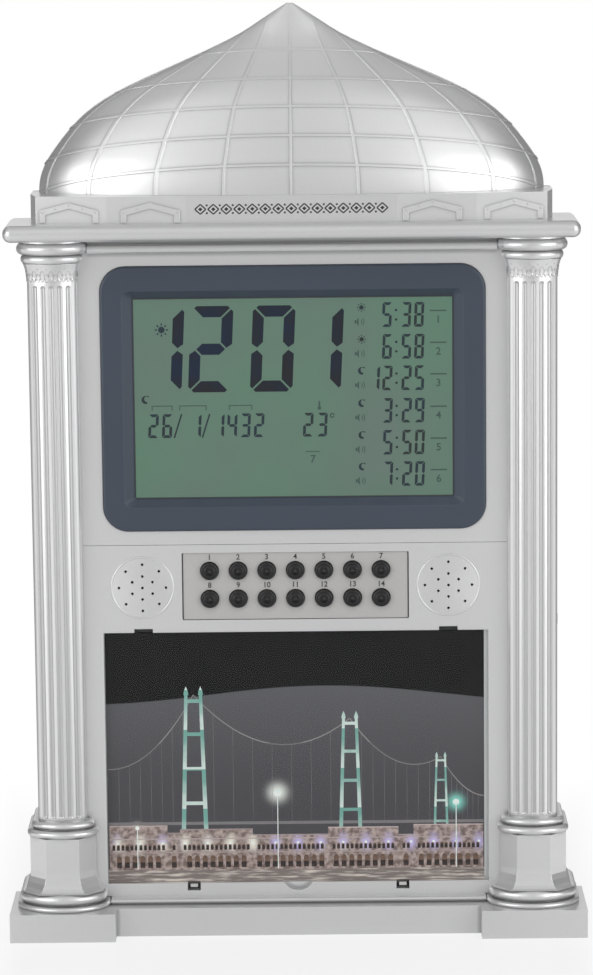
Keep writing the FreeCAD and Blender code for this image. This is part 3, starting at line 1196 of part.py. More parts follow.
def battery_door():
    """A flat door, round along its lower edge, with grip grooves near its top."""
    y0 = BACK_Y - DOOR_THICK
    door = block(-DOOR_WIDTH / 2, DOOR_WIDTH / 2, y0, BACK_Y, DOOR_Z, DOOR_TOP)
    low_edges = []
    for edge in door.Edges:
        along = abs(edge.tangentAt(edge.FirstParameter).x) > 0.99
        if along and abs(edge.CenterOfMass.z - DOOR_Z) < 1e-6:
            low_edges.append(edge)
    door = door.makeFillet(DOOR_THICK * FULL_ROUND, low_edges)
    grooves = []
    for index in range(GRIP_COUNT):
        top = DOOR_TOP - GRIP_INSET - index * GRIP_PITCH
        grooves.append(block(-GRIP_HALF, GRIP_HALF, BACK_Y - GRIP_DEPTH, BACK_Y, top - GRIP_WIDTH, top))
    return door.cut(grooves)


def cell_spring(y, z):
    """The coil spring at the left end of a cell."""
    rise = SPRING_LENGTH - 2 * SPRING_WIRE
    helix = Part.makeHelix(rise / SPRING_TURNS, rise, SPRING_RADIUS)
    ring = Part.Wire(Part.makeCircle(SPRING_WIRE, Vector(SPRING_RADIUS, 0, 0), Vector(0, 1, 0)))
    spring = Part.Wire(helix).makePipeShell([ring], True, True)
    spring.rotate(Vector(0, 0, 0), Vector(0, 1, 0), 90)
    spring.translate(Vector(-WELL_WIDTH / 2 + CONTACT_THICK + SPRING_WIRE - SPRING_BITE, y, z))
    return spring


def cell_and_contacts(y, z):
    """One cell with its nub to the right, the flat contact there and the sprung one on the left."""
    along = Vector(1, 0, 0)
    half = CONTACT_HALF
    left = -WELL_WIDTH / 2
    right = WELL_WIDTH / 2
    shoulder = right - CONTACT_THICK - CELL_NUB_LENGTH
    can = Part.makeCylinder(CELL_RADIUS, CELL_LENGTH, Vector(shoulder - CELL_LENGTH, y, z), along)
    nub = Part.makeCylinder(CELL_NUB_RADIUS, CELL_NUB_LENGTH, Vector(shoulder, y, z), along)
    plate = block(right - CONTACT_THICK, right, y - half, y + half, z - half, z + half)
    sprung = block(left, left + CONTACT_THICK, y - half, y + half, z - half, z + half).fuse(cell_spring(y, z))
    return can.fuse(nub), plate, sprung


def battery_parts():
    """Two cells, laid head to tail, and their contacts."""
    y = WELL_FRONT + WELL_DEPTH / 2
    offset = CELL_RADIUS + CELL_GAP / 2
    upper = cell_and_contacts(y, WELL_Z + offset)
    lower = cell_and_contacts(y, WELL_Z - offset)
    for shape in lower:
        shape.rotate(Vector(0, y, WELL_Z - offset), Vector(0, 1, 0), 180)
    return {
        "battery_1": upper[0],
        "battery_2": lower[0],
        "battery_contacts": Part.makeCompound(list(upper[1:] + lower[1:])),
    }


def toggle_parts():
    """The side switch: its sliding knob and the switch body inside."""
    root = TOGGLE_FACE - TOGGLE_ROOT
    knob = block(root, BODY_HALF + TOGGLE_PROUD, TOGGLE_Y - TOGGLE_WIDTH / 2, TOGGLE_Y + TOGGLE_WIDTH / 2,
                 TOGGLE_Z - TOGGLE_HEIGHT / 2, TOGGLE_Z + TOGGLE_HEIGHT / 2)
    body = toggle_body_block(0.0, TOGGLE_FACE - TOGGLE_BODY_WIDTH, TOGGLE_FACE)
    return {"side_switch_knob": knob, "side_switch_body": body.cut(toggle_slot(root - RUN_GAP, TOGGLE_FACE))}


def screw_groups():
    """The screws that hold the rear cover and the columns."""
    cover = []
    for z in COVER_SCREW_Z:
        for x in (-COVER_SCREW_X, COVER_SCREW_X):
            cover.append(screw(x, z, COVER_SCREW_TIP, SCREW_LENGTH))
    columns = []
    for z in COLUMN_SCREW_Z:
        for x in (-COLUMN_X, COLUMN_X):
            columns.append(screw(x, z, WING_Y + WALL - COLUMN_SCREW_LENGTH, COLUMN_SCREW_LENGTH))
    return {"cover_screws": Part.makeCompound(cover), "column_screws": Part.makeCompound(columns)}


# ---------------------------------------------------------------- assembly
def build():
    """Every piece of the clock by its node name."""
    right_column = column()
    parts = {
        "base": base(),
        "front_housing": front_housing(),
        "left_column": mirrored(right_column),
        "right_column": right_column,
        "cornice": cornice(),
        "frieze_band": frieze_band(),
        "dome_shell": dome_shell(),
        "upper_panel": upper_panel(),
        "lower_panel": lower_panel(),
        "screen_bezel": screen_bezel(),
        "rear_cover": rear_cover(),
        "battery_door": battery_door(),
    }
    parts.update(display_parts())
    parts.update(key_parts())
    parts["ribbon_cable"] = ribbon_cable()
    for name, x in (("left", -SPEAKER_X), ("right", SPEAKER_X)):
        frame, cone = speaker(x)
        parts[f"speaker_grille_{name}"] = grille(x)
        parts[f"speaker_{name}"] = frame
        parts[f"speaker_cone_{name}"] = cone
    parts.update(picture_parts())
    parts.update(battery_parts())
    parts.update(toggle_parts())
    parts.update(screw_groups())
    return parts


def main():
    os.makedirs("parts", exist_ok=True)
    for name, shape in build().items():
        print(f"{name:22s} solids {len(shape.Solids):2d} valid {shape.isValid()} volume {shape.Volume:10.1f}")
        shape.exportStep(f"parts/{name}.step")


main()
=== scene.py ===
"""Looks of the azan clock: finishes for the CAD pieces, and the fine pieces that sit on them."""

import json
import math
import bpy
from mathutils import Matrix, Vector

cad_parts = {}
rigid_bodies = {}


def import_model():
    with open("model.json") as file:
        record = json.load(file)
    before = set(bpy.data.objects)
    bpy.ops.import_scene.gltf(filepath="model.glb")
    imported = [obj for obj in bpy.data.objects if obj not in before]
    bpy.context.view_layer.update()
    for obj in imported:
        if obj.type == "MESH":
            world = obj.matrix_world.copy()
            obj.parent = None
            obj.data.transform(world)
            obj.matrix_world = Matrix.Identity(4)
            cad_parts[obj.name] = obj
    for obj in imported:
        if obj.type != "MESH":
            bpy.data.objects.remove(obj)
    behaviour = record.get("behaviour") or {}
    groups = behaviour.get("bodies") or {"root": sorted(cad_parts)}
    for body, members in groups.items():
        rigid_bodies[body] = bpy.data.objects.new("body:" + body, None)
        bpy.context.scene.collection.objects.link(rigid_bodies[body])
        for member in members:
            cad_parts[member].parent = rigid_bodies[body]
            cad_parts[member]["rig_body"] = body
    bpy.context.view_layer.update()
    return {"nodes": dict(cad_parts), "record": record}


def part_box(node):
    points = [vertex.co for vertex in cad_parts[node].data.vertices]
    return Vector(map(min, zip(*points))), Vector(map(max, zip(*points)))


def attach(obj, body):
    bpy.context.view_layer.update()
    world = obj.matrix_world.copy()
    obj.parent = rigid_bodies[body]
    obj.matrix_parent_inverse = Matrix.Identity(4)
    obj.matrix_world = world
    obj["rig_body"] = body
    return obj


bl_info = {
    "name": "Azan clock looks",
    "version": (1, 0, 0),
    "blender": (4, 5, 0),
    "location": "View3D > Sidebar > Clock",
    "description": "Finishes, display digits, print, ornaments and stage for a mosque-shaped digital clock",
    "category": "Object",
}

import bmesh
import bpy
from mathutils import Matrix, Vector

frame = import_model()
MM = 0.001
HOUSING = "housing"

# Segments that are on in each seven-segment figure: a is the top one, b to f go round clockwise and g is
# the middle one.
FIGURES = {
    "0": "abcdef",
    "1": "bc",
    "2": "abdeg",
    "3": "abcdg",
    "4": "bcfg",
    "5": "acdfg",
    "6": "acdefg",
    "7": "abc",
    "8": "abcdefg",
    "9": "abcdfg",
    " ": "",
}


# ---------------------------------------------------------------- settings
class ClockFinish(bpy.types.PropertyGroup):
    """Colours of the finishes."""

    silver: bpy.props.FloatVectorProperty(
        name="Silver", description="Satin silver paint", subtype="COLOR", size=3, default=(0.69, 0.69, 0.695))
    rear: bpy.props.FloatVectorProperty(
        name="Rear", description="Textured grey of the rear cover", subtype="COLOR", size=3,
        default=(0.26, 0.26, 0.265))
    slate: bpy.props.FloatVectorProperty(
        name="Slate", description="Display surround", subtype="COLOR", size=3, default=(0.038, 0.052, 0.076))
    screen: bpy.props.FloatVectorProperty(
        name="Screen", description="Polariser of the display", subtype="COLOR", size=3,
        default=(0.118, 0.196, 0.152))
    figure: bpy.props.FloatVectorProperty(
        name="Figure", description="Display segments that are on", subtype="COLOR", size=3,
        default=(0.014, 0.021, 0.031))
    black: bpy.props.FloatVectorProperty(
        name="Black", description="Buttons", subtype="COLOR", size=3, default=(0.009, 0.009, 0.010))
    label: bpy.props.FloatVectorProperty(
        name="Label", description="Label plate", subtype="COLOR", size=3, default=(0.48, 0.475, 0.465))


class ClockDisplay(bpy.types.PropertyGroup):
    """Figures on the display."""

    hours_first: bpy.props.StringProperty(
        name="Hours, first figure", description="Tens of hours", default="1")
    rest: bpy.props.StringProperty(name="Other figures", description="Hours and minutes", default="201")
    height: bpy.props.FloatProperty(
        name="Height", description="Height of the large figures", unit="LENGTH", default=33.9 * MM)
    width: bpy.props.FloatProperty(
        name="Width", description="Width of the large figures", unit="LENGTH", default=16.6 * MM)
    stroke: bpy.props.FloatProperty(
        name="Stroke", description="Stroke of the large figures", unit="LENGTH", default=4.4 * MM)
    small_height: bpy.props.FloatProperty(
        name="Small height", description="Height of the small figures", unit="LENGTH", default=9.7 * MM)
    small_width: bpy.props.FloatProperty(
        name="Small width", description="Width of the small figures", unit="LENGTH", default=3.75 * MM)
    small_stroke: bpy.props.FloatProperty(
        name="Small stroke", description="Stroke of the small figures", unit="LENGTH", default=1.1 * MM)
    slant: bpy.props.FloatProperty(
        name="Slant", description="Sideways lean of the figures over their height", default=0.048)


class ClockOrnament(bpy.types.PropertyGroup):
    """Sizes of the ornaments."""

    bead: bpy.props.FloatProperty(
        name="Bead", description="Radius of the beads on the gables", unit="LENGTH", default=0.42 * MM)
    leaf_width: bpy.props.FloatProperty(
        name="Leaf width", description="Width of a leaf on the capitals", unit="LENGTH", default=1.75 * MM)
    leaf_height: bpy.props.FloatProperty(
        name="Leaf height", description="Height of a leaf on the capitals", unit="LENGTH", default=4.4 * MM)
    relief: bpy.props.FloatProperty(
        name="Relief", description="How far the leaves stand out", unit="LENGTH", default=0.28 * MM)
    number: bpy.props.FloatProperty(
        name="Number", description="Height of the numbers over the buttons", unit="LENGTH", default=2.1 * MM)
    ring: bpy.props.FloatProperty(
        name="Ring", description="Radius of the ring on each button", unit="LENGTH", default=2.15 * MM)


class ClockStage(bpy.types.PropertyGroup):
    """Camera, floor and lamps."""

    floor: bpy.props.FloatProperty(
        name="Floor", description="Radius of the floor", unit="LENGTH", default=14.0)
    key: bpy.props.FloatProperty(name="Key", description="Power of the left lamp, in watts", default=6.0)
    fill: bpy.props.FloatProperty(name="Fill", description="Power of the right lamp, in watts", default=6.6)
    top: bpy.props.FloatProperty(name="Top", description="Power of the upper lamp, in watts", default=5.5)
    sky: bpy.props.FloatProperty(name="Sky", description="Strength of the soft light all round", default=0.42)


# ---------------------------------------------------------------- shader effects
def effect(name, inputs, outputs):
    """A new node group with its named sockets, and its input and output nodes."""
    group = bpy.data.node_groups.new(name, "ShaderNodeTree")
    for label, kind, value in inputs:
        socket = group.interface.new_socket(label, in_out="INPUT", socket_type=kind)
        socket.default_value = value
    for label, kind in outputs:
        group.interface.new_socket(label, in_out="OUTPUT", socket_type=kind)
    return group, group.nodes.new("NodeGroupInput"), group.nodes.new("NodeGroupOutput")


def put(tree, kind, settings=None, values=None):
    """A node with its settings, and with values or links for its inputs by name or number."""
    node = tree.nodes.new(kind)
    for key, value in (settings or {}).items():
        setattr(node, key, value)
    for key, value in (values or {}).items():
        if isinstance(value, bpy.types.NodeSocket):
            tree.links.new(value, node.inputs[key])
        else:
            node.inputs[key].default_value = value
    return node


def math_node(tree, operation, first, second=0.0, third=0.0):
    """The result of one sum."""
    node = put(tree, "ShaderNodeMath", {"operation": operation}, {0: first, 1: second, 2: third})
    return node.outputs[0]


def spread(tree, value, low, high, to_low=0.0, to_high=1.0):
    """A value moved smoothly from one range to another."""
    values = {"Value": value, "From Min": low, "From Max": high, "To Min": to_low, "To Max": to_high}
    return put(tree, "ShaderNodeMapRange", {"interpolation_type": "SMOOTHSTEP"}, values).outputs["Result"]


def blend_colours(tree, factor, first, second, how="MIX"):
    """Two colours mixed."""
    node = put(tree, "ShaderNodeMix", {"data_type": "RGBA", "blend_type": how})
    for socket, value in zip((node.inputs[0], node.inputs[6], node.inputs[7]), (factor, first, second)):
        if isinstance(value, bpy.types.NodeSocket):
            tree.links.new(value, socket)
        else:
            socket.default_value = value
    return node.outputs[2]


def own_place(tree):
    """The piece's own coordinates."""
    return put(tree, "ShaderNodeTexCoord").outputs["Object"]


def grain_effect():
    """Fine moulded or sprayed texture."""
    group, given, result = effect(
        "Fine grain", [("Scale", "NodeSocketFloat", 900.0)], [("Height", "NodeSocketFloat")])
    noise = put(group, "ShaderNodeTexNoise", {}, {
        "Vector": own_place(group), "Scale": given.outputs["Scale"], "Detail": 3.0, "Roughness": 0.55})
    group.links.new(noise.outputs["Fac"], result.inputs["Height"])
    return group


def flake_effect():
    """Metal flakes in paint: each tiny cell has its own brightness."""
    group, given, result = effect(
        "Metal flake", [("Scale", "NodeSocketFloat", 5200.0)], [("Sparkle", "NodeSocketFloat")])
    cells = put(group, "ShaderNodeTexVoronoi", {}, {
        "Vector": own_place(group), "Scale": given.outputs["Scale"]})
    grey = put(group, "ShaderNodeRGBToBW", {}, {0: cells.outputs["Color"]})
    group.links.new(grey.outputs[0], result.inputs["Sparkle"])
    return group


SHARP_TURN = 0.86  # cosine between the rounded and the flat normal at which an edge's tint, for wear and painted highlight, is full
CREVICE_GAIN = 3.6


def edge_effect():
    """Softened edges: a rounded normal, and a mask that is 1 along sharp edges."""
    group, given, result = effect(
        "Soft edge", [("Radius", "NodeSocketFloat", 0.4 * MM)],
        [("Mask", "NodeSocketFloat"), ("Normal", "NodeSocketVector")])
    rounded = put(group, "ShaderNodeBevel", {"samples": 6}, {"Radius": given.outputs["Radius"]})
    flat = put(group, "ShaderNodeNewGeometry")
    turn = put(group, "ShaderNodeVectorMath", {"operation": "DOT_PRODUCT"}, {
        0: rounded.outputs["Normal"], 1: flat.outputs["Normal"]})
    mask = spread(group, turn.outputs["Value"], 1.0, SHARP_TURN)
    group.links.new(mask, result.inputs["Mask"])
    group.links.new(rounded.outputs["Normal"], result.inputs["Normal"])
    return group


def crevice_effect():
    """Grooves and inner corners of a piece: a mask that is 1 where little light reaches."""
    group, given, result = effect(
        "Painted crevice shade", [("Reach", "NodeSocketFloat", 1.5 * MM)], [("Mask", "NodeSocketFloat")])
    open_sky = put(group, "ShaderNodeAmbientOcclusion", {"samples": 12, "only_local": True}, {
        "Distance": given.outputs["Reach"]})
    hidden = math_node(group, "SUBTRACT", 1.0, open_sky.outputs["AO"])
    mask = math_node(group, "MINIMUM", math_node(group, "MULTIPLY", hidden, CREVICE_GAIN), 1.0)
    group.links.new(mask, result.inputs["Mask"])
    return group


# Flutes of the columns, in millimetres: middle of the column, spacing, reach to each side, and levels
FLUTE_MIDDLE = 93.15
FLUTE_SPACING = 3.43
FLUTE_SIDE = 8.6
FLUTE_FOOT = 47.4
FLUTE_HEAD = 259.2
# How far the painted shade and highlight take to fade at the sides, behind the front, and at the foot and head
SIDE_FADE = 0.3
DEPTH_FADE = 0.5
END_FADE = 0.8
# Distances from a flute's middle between which its painted shade comes up, and the painted highlight on the
# ridge beside it
VALLEY_EDGES = (1.2, 0.4)
RIDGE_EDGES = (1.15, 1.45)


def flute_effect():
    """Painted shade in the columns' flutes, and a painted highlight on the ridges between them."""
    group, given, result = effect(
        "Painted flute shade and highlight", [("Front", "NodeSocketFloat", -13.5 * MM)],
        [("Valley painted shade", "NodeSocketFloat"), ("Ridge painted highlight", "NodeSocketFloat")])
    parts = put(group, "ShaderNodeSeparateXYZ", {}, {0: own_place(group)})
    from_axis = math_node(group, "ABSOLUTE", parts.outputs["X"])
    across = math_node(group, "SUBTRACT", from_axis, FLUTE_MIDDLE * MM)
    step = math_node(group, "PINGPONG", across, FLUTE_SPACING / 2 * MM)
    beside = math_node(group, "ABSOLUTE", across)
    inside = spread(group, beside, FLUTE_SIDE * MM, (FLUTE_SIDE - SIDE_FADE) * MM)
    behind = math_node(group, "SUBTRACT", parts.outputs["Y"], given.outputs["Front"])
    front = spread(group, behind, DEPTH_FADE * MM, 0.0)
    foot = spread(group, parts.outputs["Z"], FLUTE_FOOT * MM, (FLUTE_FOOT + END_FADE) * MM)
    head = spread(group, parts.outputs["Z"], FLUTE_HEAD * MM, (FLUTE_HEAD - END_FADE) * MM)
    shaft = math_node(group, "MULTIPLY", math_node(group, "MULTIPLY", inside, front),
                      math_node(group, "MULTIPLY", foot, head))
    valley, ridge = [
        math_node(group, "MULTIPLY", spread(group, step, low * MM, high * MM), shaft)
        for low, high in (VALLEY_EDGES, RIDGE_EDGES)]
    group.links.new(valley, result.inputs["Valley painted shade"])
    group.links.new(ridge, result.inputs["Ridge painted highlight"])
    return group


# Ranges over which dust comes up: how much a surface faces up, and its noise; then the drift's noise
DUST_SLOPE = (0.35, 1.0)
DUST_PATCHES = (0.3, 0.75)
DRIFT_RANGE = (0.25, 0.75)


def dust_effect():
    """Dust that settles on surfaces that face up."""
    group, given, result = effect(
        "Settled dust", [("Amount", "NodeSocketFloat", 0.2), ("Scale", "NodeSocketFloat", 60.0)],
        [("Mask", "NodeSocketFloat")])
    faced = put(group, "ShaderNodeNewGeometry")
    parts = put(group, "ShaderNodeSeparateXYZ", {}, {0: faced.outputs["Normal"]})
    upward = spread(group, parts.outputs["Z"], *DUST_SLOPE)
    noise = put(group, "ShaderNodeTexNoise", {}, {
        "Vector": own_place(group), "Scale": given.outputs["Scale"], "Detail": 5.0, "Roughness": 0.7})
    patches = spread(group, noise.outputs["Fac"], *DUST_PATCHES)
    thick = math_node(group, "MULTIPLY", patches, given.outputs["Amount"])
    amount = math_node(group, "MULTIPLY", upward, thick)
    group.links.new(amount, result.inputs["Mask"])
    return group


def drift_effect():
    """Slow change over a surface, between 0 and 1."""
    group, given, result = effect(
        "Slow drift", [("Scale", "NodeSocketFloat", 14.0)], [("Drift", "NodeSocketFloat")])
    noise = put(group, "ShaderNodeTexNoise", {}, {
        "Vector": own_place(group), "Scale": given.outputs["Scale"], "Detail": 2.0, "Roughness": 0.5})
    group.links.new(spread(group, noise.outputs["Fac"], *DRIFT_RANGE), result.inputs["Drift"])
    return group


EFFECTS = {
    "grain": grain_effect,
    "flake": flake_effect,
    "edge": edge_effect,
    "crevice": crevice_effect,
    "flute": flute_effect,
    "dust": dust_effect,
    "drift": drift_effect,
}
made_effects = {}


def use_effect(tree, kind, values=None):
    """An effect's group placed in a material, with its own values."""
    if kind not in made_effects:
        made_effects[kind] = EFFECTS[kind]()
    return put(tree, "ShaderNodeGroup", {"node_tree": made_effects[kind]}, values)


# ---------------------------------------------------------------- materials
def rgba(colour, share=1.0):
    """A colour with alpha, made darker or lighter by a share."""
    return (colour[0] * share, colour[1] * share, colour[2] * share, 1.0)


def new_material(name):
    """An empty material with its output and Principled shader."""
    material = bpy.data.materials.new(name)
    material.use_nodes = True
    tree = material.node_tree
    tree.nodes.clear()
    shader = tree.nodes.new("ShaderNodeBsdfPrincipled")
    output = tree.nodes.new("ShaderNodeOutputMaterial")
    tree.links.new(shader.outputs[0], output.inputs["Surface"])
    return material, tree, shader


def grain_gloss(tree, shader, scale, change, least):
    """Makes the roughness follow a fine grain, and gives back the grain's height."""
    height = use_effect(tree, "grain", {"Scale": scale}).outputs["Height"]
    tree.links.new(math_node(tree, "MULTIPLY_ADD", height, change, least), shader.inputs["Roughness"])
    return height


def show_instead(tree, surface):
    """Links a mixed shader to the material's output in place of the plain one."""
    output = next(node for node in tree.nodes if node.type == "OUTPUT_MATERIAL")
    tree.links.new(surface, output.inputs["Surface"])


def seen_rays(tree):
    """Masks of the rays that show the set: straight ones alone, and straight and glossy ones together."""
    path = put(tree, "ShaderNodeLightPath")
    straight = math_node(tree, "MAXIMUM", path.outputs["Is Camera Ray"], path.outputs["Is Transmission Ray"])
    return straight, math_node(tree, "MAXIMUM", straight, path.outputs["Is Glossy Ray"])


COAT_ROUGH = 0.18
DUST_COLOUR = (0.55, 0.54, 0.52, 1.0)
DUST_DULLS = 0.3
RIDGE_SHARE = 0.5  # of the flutes' painted shade, by which the ridges between them are painted paler as a highlight


def finish(name, colour, rough, metal=0.0, coat=0.0, specular=0.5, grain=900.0, grain_depth=0.01,
           drift=0.05, drift_scale=14.0, edge=0.4, edge_wear_and_light_tint=1.18, dust=0.12, flake=0.0, crevice_shade=0.0,
           reach=1.5, mottle=0.06, fluted=0.0):
    """A moulded, painted or rolled surface with grain, slow drift, a little dust and tinted edges, which stand
    for wear and are a painted highlight where the tint is above one and painted shade where it is below; it
    can also have painted shade in crevices, and painted shade and highlight in flutes.
    """
    material, tree, shader = new_material(name)
    shader.inputs["Metallic"].default_value = metal
    shader.inputs["Coat Weight"].default_value = coat
    shader.inputs["Coat Roughness"].default_value = COAT_ROUGH
    shader.inputs["Specular IOR Level"].default_value = specular
    slow = use_effect(tree, "drift", {"Scale": drift_scale}).outputs["Drift"]
    shade = blend_colours(tree, slow, rgba(colour, 1.0 - drift), rgba(colour, 1.0 + drift))
    if flake:
        sparkle = use_effect(tree, "flake").outputs["Sparkle"]
        speck = spread(tree, sparkle, 0.0, 1.0, 1.0 - flake, 1.0 + flake)
        shade = blend_colours(tree, 1.0, shade, put(
            tree, "ShaderNodeCombineXYZ", {}, {0: speck, 1: speck, 2: speck}).outputs[0], "MULTIPLY")
    # Painted shade: the colour darkens in grooves and inner corners, where little light reaches
    if crevice_shade:
        crevice_shade_mask = use_effect(tree, "crevice", {"Reach": reach * MM}).outputs["Mask"]
        shade = blend_colours(tree, crevice_shade_mask, shade, rgba(colour, 1.0 - crevice_shade))
    # Painted shade in the flutes and a painted highlight on the ridges between them
    if fluted:
        flute = use_effect(tree, "flute")
        shade = blend_colours(tree, flute.outputs["Ridge painted highlight"], shade, rgba(colour, 1.0 + RIDGE_SHARE * fluted))
        shade = blend_colours(tree, flute.outputs["Valley painted shade"], shade, rgba(colour, 1.0 - fluted))
    # Edge tint: above one it is a painted highlight along the edges, below one it is painted shade, and it
    # stands for wear too
    edge_wear_and_light = use_effect(tree, "edge", {"Radius": edge * MM})
    shade = blend_colours(tree, edge_wear_and_light.outputs["Mask"], shade, rgba(colour, edge_wear_and_light_tint))
    settled = use_effect(tree, "dust", {"Amount": dust}).outputs["Mask"]
    shade = blend_colours(tree, settled, shade, DUST_COLOUR)
    tree.links.new(shade, shader.inputs["Base Color"])
    height = use_effect(tree, "grain", {"Scale": grain}).outputs["Height"]
    dull = math_node(tree, "MULTIPLY_ADD", height, 2.0 * mottle, rough - mottle)
    dull = math_node(tree, "MULTIPLY_ADD", settled, DUST_DULLS, dull)
    tree.links.new(dull, shader.inputs["Roughness"])
    bump = put(tree, "ShaderNodeBump", {}, {
        "Height": height, "Normal": edge_wear_and_light.outputs["Normal"], "Strength": 0.5, "Distance": grain_depth * MM})
    tree.links.new(bump.outputs[0], shader.inputs["Normal"])
    return material


def ink_finish(name, colour, rough):
    """Printed ink, painted shadow lines and very thin trim: too fine for rounded edges, so the normals stay
    flat.
    """
    return finish(name, colour, rough, edge=0.03, edge_wear_and_light_tint=1.0, dust=0.02, grain_depth=0.002)


# Tints between which the display's ground and its segments drift, as shares of their colour
GREYER = (1.08, 0.93, 1.02)
GREENER = (0.90, 1.08, 0.96)
BLUER = (1.0, 1.1, 1.45)
BROWNER = (1.4, 1.0, 0.8)
SPECKLE = 0.12
SPECKLE_SHARE = 0.7


def tinted(colour, tint):
    """A colour with each channel made brighter or dimmer."""
    return [channel * share for channel, share in zip(colour, tint)]


def screen_material(colour):
    """The display's polariser: matte, with a fine speckle and a slow green and grey drift."""
    material, tree, shader = new_material("screen_polariser")
    shader.inputs["Coat Weight"].default_value = 0.25
    shader.inputs["Coat Roughness"].default_value = 0.3
    shader.inputs["Specular IOR Level"].default_value = 0.35
    slow = use_effect(tree, "drift", {"Scale": 22.0}).outputs["Drift"]
    shade = blend_colours(tree, slow, rgba(tinted(colour, GREYER)), rgba(tinted(colour, GREENER)))
    sparkle = use_effect(tree, "flake", {"Scale": 3400.0}).outputs["Sparkle"]
    speckle = math_node(tree, "MULTIPLY", sparkle, SPECKLE)
    shade = blend_colours(tree, speckle, shade, rgba(colour, SPECKLE_SHARE))
    tree.links.new(shade, shader.inputs["Base Color"])
    height = grain_gloss(tree, shader, 2600.0, 0.15, 0.32)
    bump = put(tree, "ShaderNodeBump", {}, {"Height": height, "Strength": 0.2, "Distance": 0.01 * MM})
    tree.links.new(bump.outputs[0], shader.inputs["Normal"])
    return material


def figure_material(name, colour, strength):
    """Display segments: near black, drifting between blue and brown, and paler where strength is low."""
    material, tree, shader = new_material(name)
    shader.inputs["Specular IOR Level"].default_value = 0.2
    slow = use_effect(tree, "drift", {"Scale": 70.0}).outputs["Drift"]
    ground = tuple(bpy.context.scene.clock_finish.screen)
    blue, brown = [
        [g + (c - g) * strength for g, c in zip(ground, tinted(colour, tint))] for tint in (BLUER, BROWNER)]
    tree.links.new(blend_colours(tree, slow, rgba(blue), rgba(brown)), shader.inputs["Base Color"])
    grain_gloss(tree, shader, 2600.0, 0.15, 0.35)
    return material


WINDOW_COLOUR = (0.97, 0.985, 0.98, 1.0)
WINDOW_SHADOW = (0.95, 0.97, 0.965, 1.0)
WINDOW_IOR = 1.15
HAIRLINES = 0.02


def window_material():
    """Clear plastic that lets the lamps through to the print, with faint hairlines in its gloss."""
    material, tree, shader = new_material("window_clear")
    shader.inputs["Base Color"].default_value = WINDOW_COLOUR
    shader.inputs["IOR"].default_value = WINDOW_IOR
    shader.inputs["Transmission Weight"].default_value = 1.0
    hairs = put(tree, "ShaderNodeTexNoise", {}, {
        "Vector": own_place(tree), "Scale": 120.0, "Detail": 4.0})
    dull = math_node(tree, "MULTIPLY", hairs.outputs["Fac"], HAIRLINES)
    tree.links.new(dull, shader.inputs["Roughness"])
    path = put(tree, "ShaderNodeLightPath")
    clear = put(tree, "ShaderNodeBsdfTransparent", {}, {"Color": WINDOW_SHADOW})
    passed = math_node(tree, "MAXIMUM", path.outputs["Is Shadow Ray"], path.outputs["Is Diffuse Ray"])
    mix = put(tree, "ShaderNodeMixShader", {}, {0: passed, 1: shader.outputs[0], 2: clear.outputs[0]})
    show_instead(tree, mix.outputs[0])
    return material


# Solder mask in two shades, and the paler green over copper
MASK_COLOURS = ((0.018, 0.110, 0.035, 1.0), (0.022, 0.125, 0.045, 1.0))
TRACK_COLOUR = (0.050, 0.220, 0.080, 1.0)


def board_material():
    """Solder mask over copper tracks."""
    material, tree, shader = new_material("circuit_board")
    place = own_place(tree)
    tracks = put(tree, "ShaderNodeTexBrick", {"offset": 0.35, "squash": 2.0}, {
        "Vector": put(tree, "ShaderNodeMapping", {}, {
            "Vector": place, "Rotation": (math.radians(90.0), 0.0, 0.0)}).outputs[0],
        "Color1": MASK_COLOURS[0], "Color2": MASK_COLOURS[1], "Mortar": TRACK_COLOUR,
        "Scale": 130.0, "Mortar Size": 0.03})
    tree.links.new(tracks.outputs["Color"], shader.inputs["Base Color"])
    bump = put(tree, "ShaderNodeBump", {}, {"Height": tracks.outputs["Fac"], "Distance": 0.03 * MM})
    tree.links.new(bump.outputs[0], shader.inputs["Normal"])
    grain_gloss(tree, shader, 700.0, 0.2, 0.22)
    return material


CABLE_PITCH = 1.27 * MM
GROOVE_SHADE_COLOUR = (0.20, 0.20, 0.21, 1.0)
CORE_COLOUR = (0.62, 0.62, 0.63, 1.0)


def ribbon_material():
    """Flat cable: parallel cores side by side, with painted shade in the grooves between them."""
    material, tree, shader = new_material("flat_cable")
    parts = put(tree, "ShaderNodeSeparateXYZ", {}, {0: own_place(tree)})
    phase = math_node(tree, "FRACT", math_node(tree, "DIVIDE", parts.outputs["X"], CABLE_PITCH))
    ridge = math_node(tree, "SINE", math_node(tree, "MULTIPLY", phase, math.pi))
    # Painted shade: the grooves between the cores are darker
    shade = blend_colours(tree, ridge, GROOVE_SHADE_COLOUR, CORE_COLOUR)
    tree.links.new(shade, shader.inputs["Base Color"])
    bump = put(tree, "ShaderNodeBump", {}, {"Height": ridge, "Distance": 0.3 * MM})
    tree.links.new(bump.outputs[0], shader.inputs["Normal"])
    grain_gloss(tree, shader, 600.0, 0.2, 0.4)
    return material


# A battery's wrap, measured from its middle
CELL_BAND = 9.0 * MM
CELL_WRAP = 26.6 * MM
WRAP_COLOUR = (0.030, 0.034, 0.040, 1.0)
BAND_COLOUR = (0.42, 0.43, 0.45, 1.0)
BARE_COLOUR = (0.62, 0.61, 0.59, 1.0)


